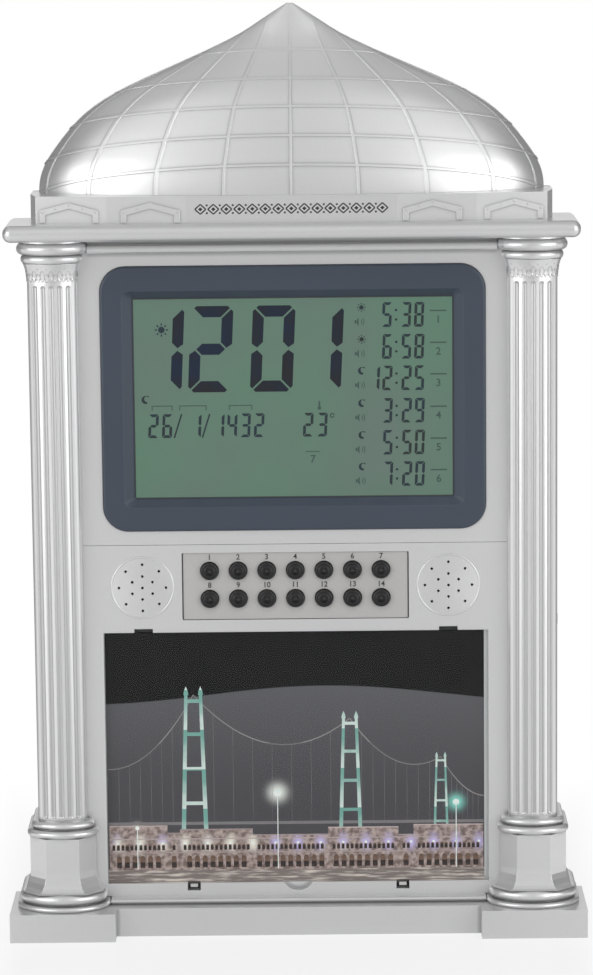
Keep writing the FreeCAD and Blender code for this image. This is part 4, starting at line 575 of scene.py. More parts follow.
def cell_material():
    """A battery's wrap: dark with a pale band round its middle, and bare metal at both ends."""
    material, tree, shader = new_material("battery_wrap")
    parts = put(tree, "ShaderNodeSeparateXYZ", {}, {0: own_place(tree)})
    along = math_node(tree, "ABSOLUTE", parts.outputs["X"])
    band = math_node(tree, "LESS_THAN", along, CELL_BAND)
    bare = math_node(tree, "GREATER_THAN", along, CELL_WRAP)
    shade = blend_colours(tree, band, WRAP_COLOUR, BAND_COLOUR)
    shade = blend_colours(tree, bare, shade, BARE_COLOUR)
    tree.links.new(shade, shader.inputs["Base Color"])
    tree.links.new(bare, shader.inputs["Metallic"])
    grain_gloss(tree, shader, 500.0, 0.15, 0.2)
    return material


# The print's ground, in millimetres: horizon and water's edge above its foot, and the cloud's edge
HORIZON_Z = 27.0
WATER_Z = 5.0
WATER_FADE = 0.2
CLOUD_DROP = 25.5
CLOUD_SWELL = 3.4
CLOUD_FADE = 0.25
CLOUD_WAVES = 34.0  # in radians to the metre
CLOUD_START = 1.2
# Lamp glows: middle across, height above the print's foot, reach, colour
PRINT_GLOWS = (
    (-8.0, 36.0, 9.0, (0.92, 0.90, 0.86)),
    (63.0, 31.5, 7.5, (0.30, 0.80, 0.70)),
    (-64.0, 22.0, 5.0, (0.80, 0.70, 0.62)),
)
GLOW_CORE = 0.3
GLOW_POWER = 2.6
# Pairs of colours: sky at the horizon and overhead, the cloud's soot, and the water's troughs and crests
SKY_COLOURS = ((0.080, 0.074, 0.084, 1.0), (0.136, 0.129, 0.143, 1.0))
CLOUD_COLOURS = ((0.003, 0.003, 0.003, 1.0), (0.007, 0.006, 0.006, 1.0))
SEA_COLOURS = ((0.24, 0.195, 0.185, 1.0), (0.80, 0.69, 0.64, 1.0))
RIPPLE_RANGE = (0.45, 0.7)
RIPPLE_SCALE = (90.0, 1.0, 900.0)


def printed_surface(name):
    """The material of a printed layer, with its tree, its shader and the layer's own coordinates."""
    material, tree, shader = new_material(name)
    shader.inputs["Specular IOR Level"].default_value = 0.15
    grain_gloss(tree, shader, 1500.0, 0.1, 0.3)
    parts = put(tree, "ShaderNodeSeparateXYZ", {}, {0: own_place(tree)})
    return material, tree, shader, parts.outputs


def print_material():
    """The print's ground: a grey night sky, darker to the horizon, with a cloud, water and lamp glows."""
    material, tree, shader, place = printed_surface("print_ground")
    across = place["X"]
    up = place["Z"]
    low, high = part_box("picture_print")
    dusk = spread(tree, up, low.z + HORIZON_Z * MM, high.z)
    shade = blend_colours(tree, dusk, *SKY_COLOURS)

    swell = math_node(tree, "SINE", math_node(tree, "MULTIPLY_ADD", across, CLOUD_WAVES, CLOUD_START))
    edge = math_node(tree, "MULTIPLY_ADD", swell, CLOUD_SWELL * MM, high.z - CLOUD_DROP * MM)
    above = math_node(tree, "SUBTRACT", up, edge)
    cloud = spread(tree, above, -CLOUD_FADE * MM, CLOUD_FADE * MM)
    soot = put(tree, "ShaderNodeTexNoise", {}, {"Vector": own_place(tree), "Scale": 60.0, "Detail": 6.0})
    dark = blend_colours(tree, soot.outputs["Fac"], *CLOUD_COLOURS)
    shade = blend_colours(tree, cloud, shade, dark)

    water = spread(tree, up, low.z + (WATER_Z + WATER_FADE) * MM, low.z + (WATER_Z - WATER_FADE) * MM)
    stretched = put(tree, "ShaderNodeMapping", {}, {"Vector": own_place(tree), "Scale": RIPPLE_SCALE})
    ripples = put(tree, "ShaderNodeTexNoise", {}, {
        "Vector": stretched.outputs[0], "Scale": 1.0, "Detail": 4.0})
    wave = spread(tree, ripples.outputs["Fac"], *RIPPLE_RANGE)
    sea = blend_colours(tree, wave, *SEA_COLOURS)
    shade = blend_colours(tree, water, shade, sea)

    flat = put(tree, "ShaderNodeCombineXYZ", {}, {0: across, 2: up}).outputs[0]
    for x, z, reach, colour in PRINT_GLOWS:
        offset = put(tree, "ShaderNodeVectorMath", {"operation": "DISTANCE"}, {
            0: flat, 1: (x * MM, 0.0, low.z + z * MM)})
        glow = spread(tree, offset.outputs["Value"], reach * MM, GLOW_CORE * MM)
        shade = blend_colours(tree, math_node(tree, "POWER", glow, GLOW_POWER), shade, rgba(colour))
    tree.links.new(shade, shader.inputs["Base Color"])
    return material


# In these finishes an edge tint above one paints a highlight along edges and below one paints shade; the
# silver's groove share paints shade in its crevices
SLOT_FINISHES = {
    "silver_plastic": dict(rough=0.29, metal=0.6, coat=0.1, grain=1400.0, grain_depth=0.002, drift=0.012,
                           edge=0.2, edge_wear_and_light_tint=1.35, dust=0.03, flake=0.03, crevice_shade=0.35, reach=2.0,
                           mottle=0.015),
    "grey_plastic": dict(rough=0.62, grain=1500.0, grain_depth=0.05, drift=0.05, edge=0.4),
    "slate_plastic": dict(rough=0.40, coat=0.1, grain=1500.0, grain_depth=0.012, drift=0.05, edge=0.5,
                          edge_wear_and_light_tint=1.5, dust=0.04),
    "black_plastic": dict(rough=0.27, grain=2600.0, grain_depth=0.02, drift=0.15, edge=0.25, edge_wear_and_light_tint=1.9,
                          dust=0.03),
    "label_plate": dict(rough=0.45, metal=0.15, grain=2600.0, grain_depth=0.01, drift=0.02, drift_scale=30.0,
                        edge=0.2, edge_wear_and_light_tint=0.8, dust=0.02, flake=0.04),
    "inner_plastic": dict(rough=0.5, grain=500.0),
    "inner_rubber": dict(rough=0.7, grain=800.0, grain_depth=0.03),
    "steel": dict(rough=0.3, metal=1.0, grain=600.0, drift=0.1, edge=0.1, dust=0.0),
    "speaker_steel": dict(rough=0.35, metal=1.0, grain=800.0, drift=0.12, edge=0.2, dust=0.05),
    "speaker_cone": dict(rough=0.6, grain=1200.0, grain_depth=0.05, drift=0.1),
}
# How dark the painted shade in the columns' flutes is
FLUTE_SHADE = 0.27
PLAIN_COLOURS = {
    "inner_plastic": (0.62, 0.62, 0.58),
    "inner_rubber": (0.52, 0.19, 0.27),
    "steel": (0.55, 0.55, 0.54),
    "speaker_steel": (0.40, 0.40, 0.40),
    "speaker_cone": (0.02, 0.02, 0.02),
}
SPECIAL_FINISHES = {
    "circuit_board": board_material,
    "ribbon": ribbon_material,
    "battery_can": cell_material,
    "clear_plastic": window_material,
    "print_paper": print_material,
}
made_materials = {}


def slot_material(slot):
    """The material of one slot of the record, made once."""
    if slot not in made_materials:
        colours = bpy.context.scene.clock_finish
        chosen = {
            "silver_plastic": colours.silver,
            "grey_plastic": colours.rear,
            "slate_plastic": colours.slate,
            "black_plastic": colours.black,
            "label_plate": colours.label,
        }
        if slot in SPECIAL_FINISHES:
            made_materials[slot] = SPECIAL_FINISHES[slot]()
        elif slot == "lcd_glass":
            made_materials[slot] = screen_material(colours.screen)
        else:
            colour = chosen.get(slot) or PLAIN_COLOURS[slot]
            made_materials[slot] = finish(slot, colour, **SLOT_FINISHES[slot])
    return made_materials[slot]


def shared_material(name, build, *values):
    """A material of a scene piece, made once."""
    if name not in made_materials:
        made_materials[name] = build(name, *values)
    return made_materials[name]


def paint_slots(slots):
    """Gives every CAD node of these slots its material."""
    for part in frame["record"]["subparts"]:
        if part["material_slot"] in slots:
            node = frame["nodes"][part["node"]]
            node.data.materials.clear()
            node.data.materials.append(slot_material(part["material_slot"]))


# ---------------------------------------------------------------- shapes
def add_plate(shape, corners, y, thick):
    """A thin plate from its (x, z) corners; it faces the front at y - thick."""
    verts = [shape.verts.new((x, y, z)) for x, z in corners]
    face = shape.faces.new(verts)
    grown = bmesh.ops.extrude_face_region(shape, geom=[face])
    moved = [item for item in grown["geom"] if isinstance(item, bmesh.types.BMVert)]
    bmesh.ops.translate(shape, verts=moved, vec=(0.0, -thick, 0.0))


def add_bar(shape, x0, x1, z0, z1, y, thick):
    """A thin rectangular plate."""
    add_plate(shape, [(x0, z0), (x1, z0), (x1, z1), (x0, z1)], y, thick)


def add_disc(shape, x, z, radius, y, thick, sides=20):
    """A thin round plate."""
    turns = [2.0 * math.pi * index / sides for index in range(sides)]
    add_plate(shape, [(x + radius * math.cos(t), z + radius * math.sin(t)) for t in turns], y, thick)


def add_strip(shape, points, width, y, thick):
    """A thin strip of even width along (x, z) points."""
    left = []
    right = []
    for index, (x, z) in enumerate(points):
        x0, z0 = points[max(index - 1, 0)]
        x1, z1 = points[min(index + 1, len(points) - 1)]
        length = math.hypot(x1 - x0, z1 - z0)
        nx = -(z1 - z0) / length * width / 2
        nz = (x1 - x0) / length * width / 2
        left.append((x + nx, z + nz))
        right.append((x - nx, z - nz))
    add_plate(shape, right + left[::-1], y, thick)


def add_frame(shape, outline, side, foot, y, thick):
    """Four thin strips inside a rectangle: one width at the sides and head, another at the foot."""
    x0, x1, z0, z1 = outline
    add_bar(shape, x0, x1, z0, z0 + foot, y, thick)
    add_bar(shape, x0, x1, z1 - side, z1, y, thick)
    add_bar(shape, x0, x0 + side, z0 + foot, z1 - side, y, thick)
    add_bar(shape, x1 - side, x1, z0 + foot, z1 - side, y, thick)


def add_rim(shape, x, z, radius, tube, y):
    """A round bead in a ring, half sunk at y."""
    circle = bmesh.ops.create_circle(
        shape, segments=10, radius=tube, matrix=Matrix.Translation((x + radius, y, z)))["verts"]
    edges = {edge for vert in circle for edge in vert.link_edges}
    bmesh.ops.spin(shape, geom=circle + list(edges), cent=(x, y, z), axis=(0.0, 1.0, 0.0),
                   angle=2.0 * math.pi, steps=56, use_merge=True)


def arc_points(x, z, radius, first, last, steps):
    """Points on an arc, in degrees anticlockwise from +X."""
    turns = [math.radians(first + (last - first) * index / steps) for index in range(steps + 1)]
    return [(x + radius * math.cos(turn), z + radius * math.sin(turn)) for turn in turns]


# Moon: where the circle that bites into it stands and its size, as shares of its radius, and its two arcs
BITE_ACROSS = 0.45
BITE_UP = 0.22
BITE_RADIUS = 0.78
OUTER_ARC = (40.0, 290.0, 16)
INNER_ARC = (270.0, 62.0, 12)


def add_crescent(shape, x, z, radius, y, thick):
    """A waning moon."""
    outer = arc_points(x, z, radius, *OUTER_ARC)
    inner = arc_points(x + BITE_ACROSS * radius, z + BITE_UP * radius, BITE_RADIUS * radius, *INNER_ARC)
    add_plate(shape, outer + inner, y, thick)


# Sun: how many rays it has, and its disc and rays as shares of its radius
SUN_DISC = 0.5
RAYS = 8
RAY_START = 0.66
RAY_WIDTH = 0.2


def add_sun(shape, x, z, radius, y, thick):
    """A disc with rays all round."""
    add_disc(shape, x, z, radius * SUN_DISC, y, thick, 14)
    for index in range(RAYS):
        turn = math.radians(360.0 / RAYS * index)
        near = (x + RAY_START * radius * math.cos(turn), z + RAY_START * radius * math.sin(turn))
        far = (x + radius * math.cos(turn), z + radius * math.sin(turn))
        add_strip(shape, [near, far], RAY_WIDTH * radius, y, thick)


# Loudspeaker sign: its horn's start and end and the middle of its waves as shares of its box's width, and
# the rest as shares of its height
BOX_WIDTH = 0.22
THROAT_HALF = 0.2
MOUTH_HALF = 0.5
HORN_START = 1.15
HORN_END = 2.2
WAVE_MIDDLE = 2.0
WAVE_REACHES = (0.42, 0.68)
WAVE_ARC = (-38.0, 38.0, 6)
WAVE_WIDTH = 0.1


def add_speaker_sign(shape, x, z, height, y, thick):
    """A loudspeaker with two sound waves."""
    box = BOX_WIDTH * height
    throat = THROAT_HALF * height
    mouth = MOUTH_HALF * height
    add_bar(shape, x, x + box, z - throat, z + throat, y, thick)
    start, end = x + HORN_START * box, x + HORN_END * box
    add_plate(shape, [(start, z - throat), (end, z - mouth), (end, z + mouth), (start, z + throat)], y, thick)
    for reach in WAVE_REACHES:
        wave = arc_points(x + WAVE_MIDDLE * box, z, reach * height, *WAVE_ARC)
        add_strip(shape, wave, WAVE_WIDTH * height, y, thick)


# Segments as shares of their stroke: the gap between them, their cut corners, and the cut at their waist
SEGMENT_GAP = 0.11
SEGMENT_CORNER = 0.5
WAIST_CUT = 0.35


def figure_segments(width, height, stroke):
    """The outlines of the seven segments in a cell whose lower left corner is (0, 0)."""
    gap = SEGMENT_GAP * stroke
    corner = SEGMENT_CORNER * stroke
    half = stroke / 2
    middle = height / 2
    top = [(stroke + gap, height - stroke), ((corner + gap) / 2, height - (corner - gap) / 2)]
    top += [(corner, height)]
    top += [(width - x, z) for x, z in reversed(top)]
    side = [((corner - gap) / 2, height - (corner + gap) / 2), (stroke, height - stroke - gap)]
    side += [(stroke, middle + half + gap), (half, middle + gap)]
    side += [(0.0, middle + WAIST_CUT * stroke + gap)]
    side += [(0.0, height - corner)]
    cross = [(half + gap, middle), (stroke + gap, middle + half), (width - stroke - gap, middle + half)]
    cross += [(width - x, height - z) for x, z in cross]
    return {
        "a": top,
        "f": side,
        "g": cross,
        "b": [(width - x, z) for x, z in side],
        "e": [(x, height - z) for x, z in side],
        "c": [(width - x, height - z) for x, z in side],
        "d": [(x, height - z) for x, z in top],
    }


def add_figure(shape, figure, x, z, width, height, stroke, slant, y, thick):
    """One seven-segment figure with its lower left corner at (x, z)."""
    outlines = figure_segments(width, height, stroke)
    for segment in FIGURES[figure]:
        corners = [(x + a + slant * b, z + b) for a, b in outlines[segment]]
        add_plate(shape, corners, y, thick)


# Height of a figure as a share of the font's size, and how much bolder it is drawn as a share of its height
FIGURE_SHARE = 0.70
BOLDNESS = 0.028


def add_number(shape, text, x, z, height, y, thick):
    """A plain printed number, centred on (x, z)."""
    curve = bpy.data.curves.new("number", "FONT")
    curve.body = text
    curve.size = height / FIGURE_SHARE
    curve.offset = BOLDNESS * height
    curve.align_x = "CENTER"
    curve.align_y = "CENTER"
    curve.extrude = thick / 2
    curve.resolution_u = 3
    holder = bpy.data.objects.new("number", curve)
    bpy.context.scene.collection.objects.link(holder)
    bpy.context.view_layer.update()
    drawn = holder.evaluated_get(bpy.context.evaluated_depsgraph_get())
    mesh = bpy.data.meshes.new_from_object(drawn)
    upright = Matrix.Rotation(math.radians(90.0), 4, "X")
    mesh.transform(Matrix.Translation((x, y - thick / 2, z)) @ upright)
    shape.from_mesh(mesh)
    bpy.data.objects.remove(holder)
    bpy.data.curves.remove(curve)
    bpy.data.meshes.remove(mesh)


def make_piece(name, shape, material, body):
    """Turns a shape into a piece that rides on a body."""
    bmesh.ops.remove_doubles(shape, verts=shape.verts, dist=1e-7)
    bmesh.ops.recalc_face_normals(shape, faces=shape.faces)
    mesh = bpy.data.meshes.new(name)
    shape.to_mesh(mesh)
    shape.free()
    mesh.materials.append(material)
    piece = bpy.data.objects.new(name, mesh)
    bpy.context.scene.collection.objects.link(piece)
    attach(piece, body)
    return piece


def smooth(piece):
    """Smooth shading over the whole piece."""
    piece.data.polygons.foreach_set("use_smooth", [True] * len(piece.data.polygons))


def node_middle(node):
    """The middle of a CAD node's box."""
    low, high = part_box(node)
    return (low + high) / 2


def body_with(node):
    """The body that a CAD node rides on."""
    return frame["nodes"][node]["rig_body"]


# ---------------------------------------------------------------- operators: finishes
class CLOCK_OT_housing_finish(bpy.types.Operator):
    """Silver paint on the housing, columns, dome and panels, and textured grey on the back"""

    bl_idname = "clock.housing_finish"
    bl_label = "Housing finish"

    def execute(self, context):
        paint_slots({"silver_plastic", "grey_plastic"})
        colour = context.scene.clock_finish.silver
        # The columns' finish has painted shade in its flutes and painted highlights on its ridges
        fluted = finish("silver_fluted_painted_light", colour, fluted=FLUTE_SHADE, **SLOT_FINISHES["silver_plastic"])
        for node in ("left_column", "right_column"):
            frame["nodes"][node].data.materials[0] = fluted
        return {"FINISHED"}


class CLOCK_OT_front_finish(bpy.types.Operator):
    """Display surround, display, buttons, label plate, window and print"""

    bl_idname = "clock.front_finish"
    bl_label = "Front finish"

    def execute(self, context):
        paint_slots({"slate_plastic", "lcd_glass", "black_plastic", "label_plate", "clear_plastic",
                     "print_paper"})
        return {"FINISHED"}


class CLOCK_OT_inner_finish(bpy.types.Operator):
    """Boards, cable, screws, contacts, loudspeakers and batteries"""

    bl_idname = "clock.inner_finish"
    bl_label = "Inner finish"

    def execute(self, context):
        paint_slots({"inner_plastic", "inner_rubber", "circuit_board", "ribbon", "steel", "speaker_steel",
                     "speaker_cone", "battery_can"})
        return {"FINISHED"}


# ---------------------------------------------------------------- operators: display
INK_AND_SHADOW_THICK = 0.04 * MM
INK_AND_SHADOW_SUNK = 0.02 * MM

# Layout in millimetres from the lower left corner of the glass: the time
TIME_X = (5.2, 24.3, 48.5, 67.4)
TIME_Z = 44.9
# Rows of times, and the signs beside them
ROW_Z = (69.9, 57.4, 45.0, 32.2, 19.6, 7.1)
ROW_TIMES = (" 538", " 658", "1225", " 329", " 550", " 720")
ROW_X = (95.3, 100.15, 107.65, 112.65)
COLON_X = 105.8
COLON_DOT = 0.5
MARK_X = 92.3
SUN_ROWS = 2
SUN_RADIUS = 1.75
MOON_RADIUS = 1.5
SOUND_X = 89.6
SOUND_TALL = 3.3
ROW_NUMBER_X = 122.2
ROW_NUMBER_TALL = 2.9
ROW_LINE_X = (119.0, 125.4)
# Levels in a row as shares of its height
COLON_SHARES = (0.3, 0.68)
MARK_SHARE = 0.8
SOUND_SHARE = 0.22
ROW_NUMBER_SHARE = 0.28
ROW_LINE_SHARES = (0.62, 0.68)
# Date and warmth
DATE_Z = 27.0
DATE_WIDTH = 3.9
DATE_TALL = 9.4
DATE_FIGURES = (("2", 8.45), ("6", 13.85), ("1", 25.2), ("1", 34.2), ("4", 39.25), ("3", 44.45), ("2", 49.8))
WARMTH_FIGURES = (("2", 69.0), ("3", 74.5))
SLASHES = (18.7, 29.7)
SLASH_RUN = 3.0
SLASH_STROKE = 0.6
DEGREE_X = 80.6
DEGREE_SHARE = 0.88
DEGREE_RADIUS = 0.75
DEGREE_STROKE = 0.35
# Sun and moon beside the time, as (x, z, radius)
TIME_SUN = (14.3, 69.6, 2.6)
TIME_MOON = (7.7, 42.1, 1.6)
# Brackets over the date, the weekday's number under its line, and the thermometer over the warmth
BRACKETS = ((10.0, 18.2), (20.8, 31.5), (40.2, 49.4))
BRACKET_GAP = 1.4
BRACKET_TALL = 1.6
BRACKET_STROKE = 0.4
WEEKDAY_PLACE = (72.9, 18.0)
WEEKDAY_TALL = 3.0
WEEKDAY_LINE = (70.1, 75.7, 20.9, 21.3)
STEM_X = 75.6
STEM_HALF = 0.35
STEM_RISE = (2.2, 4.6)
BULB_RISE = 1.9
BULB_RADIUS = 0.75


def display_ink(name, strength):
    """The material of display segments of one strength."""
    return shared_material(name, figure_material, bpy.context.scene.clock_finish.figure, strength)


class CLOCK_OT_display_time(bpy.types.Operator):
    """Large figures of the time"""

    bl_idname = "clock.display_time"
    bl_label = "Time"

    def execute(self, context):
        sizes = context.scene.clock_display
        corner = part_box("lcd_glass")[0]
        y = corner.y + INK_AND_SHADOW_SUNK
        shape = bmesh.new()
        for figure, x in zip(sizes.hours_first + sizes.rest, TIME_X):
            add_figure(shape, figure, corner.x + x * MM, corner.z + TIME_Z * MM, sizes.width, sizes.height,
                       sizes.stroke, sizes.slant, y, INK_AND_SHADOW_THICK)
        make_piece("display_time", shape, display_ink("figure_dark", 1.0), HOUSING)
        return {"FINISHED"}


class CLOCK_OT_display_rows(bpy.types.Operator):
    """Six short times in a column, each with a row number, a day sign and a loudspeaker sign"""

    bl_idname = "clock.display_rows"
    bl_label = "Rows of times"

    def execute(self, context):
        sizes = context.scene.clock_display
        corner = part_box("lcd_glass")[0]
        y = corner.y + INK_AND_SHADOW_SUNK
        height = sizes.small_height
        figures = bmesh.new()
        signs = bmesh.new()
        for row, (foot, time) in enumerate(zip(ROW_Z, ROW_TIMES), start=1):
            z = corner.z + foot * MM
            for figure, x in zip(time, ROW_X):
                add_figure(figures, figure, corner.x + x * MM, z, sizes.small_width, height,
                           sizes.small_stroke, sizes.slant, y, INK_AND_SHADOW_THICK)
            for share in COLON_SHARES:
                add_disc(figures, corner.x + COLON_X * MM, z + share * height, COLON_DOT * MM, y,
                         INK_AND_SHADOW_THICK, 12)
            mark = (corner.x + MARK_X * MM, z + MARK_SHARE * height)
            if row <= SUN_ROWS:
                add_sun(figures, *mark, SUN_RADIUS * MM, y, INK_AND_SHADOW_THICK)
            else:
                add_crescent(figures, *mark, MOON_RADIUS * MM, y, INK_AND_SHADOW_THICK)
            add_speaker_sign(signs, corner.x + SOUND_X * MM, z + SOUND_SHARE * height, SOUND_TALL * MM, y,
                             INK_AND_SHADOW_THICK)
            add_number(signs, str(row), corner.x + ROW_NUMBER_X * MM, z + ROW_NUMBER_SHARE * height,
                       ROW_NUMBER_TALL * MM, y, INK_AND_SHADOW_THICK)
            x0, x1 = [corner.x + x * MM for x in ROW_LINE_X]
            z0, z1 = [z + share * height for share in ROW_LINE_SHARES]
            add_bar(signs, x0, x1, z0, z1, y, INK_AND_SHADOW_THICK)
        make_piece("display_rows", figures, display_ink("figure_mid", 0.9), HOUSING)
        make_piece("display_row_signs", signs, display_ink("figure_faint", 0.55), HOUSING)
        return {"FINISHED"}


class CLOCK_OT_display_date(bpy.types.Operator):
    """Date, warmth, weekday and small signs under the time"""

    bl_idname = "clock.display_date"
    bl_label = "Date and signs"

    def execute(self, context):
        sizes = context.scene.clock_display
        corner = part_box("lcd_glass")[0]
        y = corner.y + INK_AND_SHADOW_SUNK
        z = corner.z + DATE_Z * MM
        height = DATE_TALL * MM
        figures = bmesh.new()
        for figure, x in DATE_FIGURES + WARMTH_FIGURES:
            add_figure(figures, figure, corner.x + x * MM, z, DATE_WIDTH * MM, height, sizes.small_stroke,
                       sizes.slant, y, INK_AND_SHADOW_THICK)
        for x in SLASHES:
            foot = corner.x + x * MM
            add_strip(figures, [(foot, z), (foot + SLASH_RUN * MM, z + height)], SLASH_STROKE * MM, y,
                      INK_AND_SHADOW_THICK)
        degree = arc_points(corner.x + DEGREE_X * MM, z + DEGREE_SHARE * height, DEGREE_RADIUS * MM,
                            0.0, 340.0, 16)
        add_strip(figures, degree, DEGREE_STROKE * MM, y, INK_AND_SHADOW_THICK)
        for add_mark, (mark_x, mark_z, radius) in ((add_sun, TIME_SUN), (add_crescent, TIME_MOON)):
            add_mark(figures, corner.x + mark_x * MM, corner.z + mark_z * MM, radius * MM, y, INK_AND_SHADOW_THICK)
        make_piece("display_date", figures, display_ink("figure_mid", 0.9), HOUSING)

        signs = bmesh.new()
        stroke = BRACKET_STROKE * MM
        foot = z + height + BRACKET_GAP * MM
        head = foot + BRACKET_TALL * MM
        for ends in BRACKETS:
            left, right = [corner.x + end * MM for end in ends]
            add_bar(signs, left, right, head, head + stroke, y, INK_AND_SHADOW_THICK)
            add_bar(signs, left, left + stroke, foot, head, y, INK_AND_SHADOW_THICK)
            add_bar(signs, right - stroke, right, foot, head, y, INK_AND_SHADOW_THICK)
        day_x, day_z = WEEKDAY_PLACE
        add_number(signs, "7", corner.x + day_x * MM, corner.z + day_z * MM, WEEKDAY_TALL * MM, y, INK_AND_SHADOW_THICK)
        x0, x1, z0, z1 = [value * MM for value in WEEKDAY_LINE]
        add_bar(signs, corner.x + x0, corner.x + x1, corner.z + z0, corner.z + z1, y, INK_AND_SHADOW_THICK)
        stem = corner.x + STEM_X * MM
        low, high = [z + height + rise * MM for rise in STEM_RISE]
        add_bar(signs, stem - STEM_HALF * MM, stem + STEM_HALF * MM, low, high, y, INK_AND_SHADOW_THICK)
        add_disc(signs, stem, z + height + BULB_RISE * MM, BULB_RADIUS * MM, y - INK_AND_SHADOW_THICK / 4, INK_AND_SHADOW_THICK, 14)
        make_piece("display_signs", signs, display_ink("figure_faint", 0.55), HOUSING)
        return {"FINISHED"}


# ---------------------------------------------------------------- operators: keypad and front lines
BUTTONS = [f"button_{number:02d}" for number in range(1, 15)]
NUMBER_RISE = 5.4 * MM
# Colours of fine lines
LABEL_INK = (0.020, 0.019, 0.019)
DISPLAY_SHADOW_COLOUR = (0.030, 0.034, 0.036)
LABEL_SHADOW_COLOUR = (0.075, 0.073, 0.070)
NOTCH_SHADE_COLOUR = (0.012, 0.012, 0.012)
PIP_COLOUR = (0.56, 0.56, 0.55)
# Fine lines on the front, in millimetres: joints beside the shafts
PANEL_FRONT = -11.0
JOINT_X = (83.12, 83.58)
JOINT_Z = (46.4, 267.6)
JOINT_SUNK = 0.2
JOINT_THICK = 0.1
# Painted shadow lines round the display's opening and round the label plate
DISPLAY_OPENING = (-62.6, 62.6, 173.9, 253.1)
DISPLAY_SHADOW_WIDTH = 0.5
LABEL_SHADOW_WIDTH = 0.4
LABEL_SHADOW_FOOT = 0.75
# Beads round the grilles
RIM_RADIUS = 12.2
RIM_TUBE = 0.42
RIM_SUNK = 0.12
# Notches of the window's hooks and latches, with painted shade on their floors, and the frosted pips on its
# latches
HOOK_X = 60.1
HOOK_HALF = 3.65
HOOK_Z = (120.0, 121.35)
LATCH_X = 41.6
LATCH_HALF = 2.55
LATCH_Z = (15.65, 18.7)
NOTCH_FLOOR = -7.82
PIP_HALF = 1.45
PIP_Z = (16.9, 18.3)
PIP_Y = -10.62
PIP_THICK = 0.08
FILM = 0.05  # thickness of the display's painted shadow line and of the notches' painted shade plates


def add_block(shape, x, half, levels, y, thick):
    """A thin rectangular plate about x, between two levels, all in millimetres."""
    z0, z1 = levels
    add_bar(shape, (x - half) * MM, (x + half) * MM, z0 * MM, z1 * MM, y * MM, thick * MM)


# A button's ring from its outside to its inside, as (past the ring's radius, from the face), and then the
# dish within it, as (share of the ring's radius, from the face); negative stands out
RING_PROFILE = ((0.42, 0.02), (0.22, -0.10), (0.0, -0.13), (-0.22, -0.09), (-0.45, -0.02))
DISH_PROFILE = ((0.4, -0.035), (0.0, -0.05))


class CLOCK_OT_button_rings(bpy.types.Operator):
    """A raised ring with a shallow dish inside it on the face of each button"""

    bl_idname = "clock.button_rings"
    bl_label = "Button rings"

    def execute(self, context):
        radius = context.scene.clock_ornament.ring
        outline = [(radius + past * MM, depth) for past, depth in RING_PROFILE]
        outline += [(radius * share, depth) for share, depth in DISH_PROFILE]
        for node in BUTTONS:
            middle = node_middle(node)
            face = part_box(node)[0].y
            shape = bmesh.new()
            verts = [shape.verts.new((middle.x + r, face + y * MM, middle.z)) for r, y in outline]
            edges = [shape.edges.new(pair) for pair in zip(verts, verts[1:])]
            bmesh.ops.spin(shape, geom=verts + edges, cent=(middle.x, face, middle.z), axis=(0.0, 1.0, 0.0),
                           angle=2.0 * math.pi, steps=36, use_merge=True)
            bmesh.ops.remove_doubles(shape, verts=shape.verts, dist=1e-6)
            rim = [edge for edge in shape.edges if edge.is_boundary]
            bmesh.ops.holes_fill(shape, edges=rim, sides=0)
            piece = make_piece(node + "_ring", shape, slot_material("black_plastic"), body_with(node))
            smooth(piece)
        return {"FINISHED"}


class CLOCK_OT_button_numbers(bpy.types.Operator):
    """A plain number over each button"""

    bl_idname = "clock.button_numbers"
    bl_label = "Button numbers"

    def execute(self, context):
        height = context.scene.clock_ornament.number
        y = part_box("button_plate")[0].y + INK_AND_SHADOW_SUNK
        shape = bmesh.new()
        for number, node in enumerate(BUTTONS, start=1):
            middle = node_middle(node)
            add_number(shape, str(number), middle.x, middle.z + NUMBER_RISE, height, y, INK_AND_SHADOW_THICK)
        ink_and_shadow_look = shared_material("label_ink", ink_finish, LABEL_INK, 0.5)
        make_piece("button_numbers", shape, ink_and_shadow_look, HOUSING)
        return {"FINISHED"}


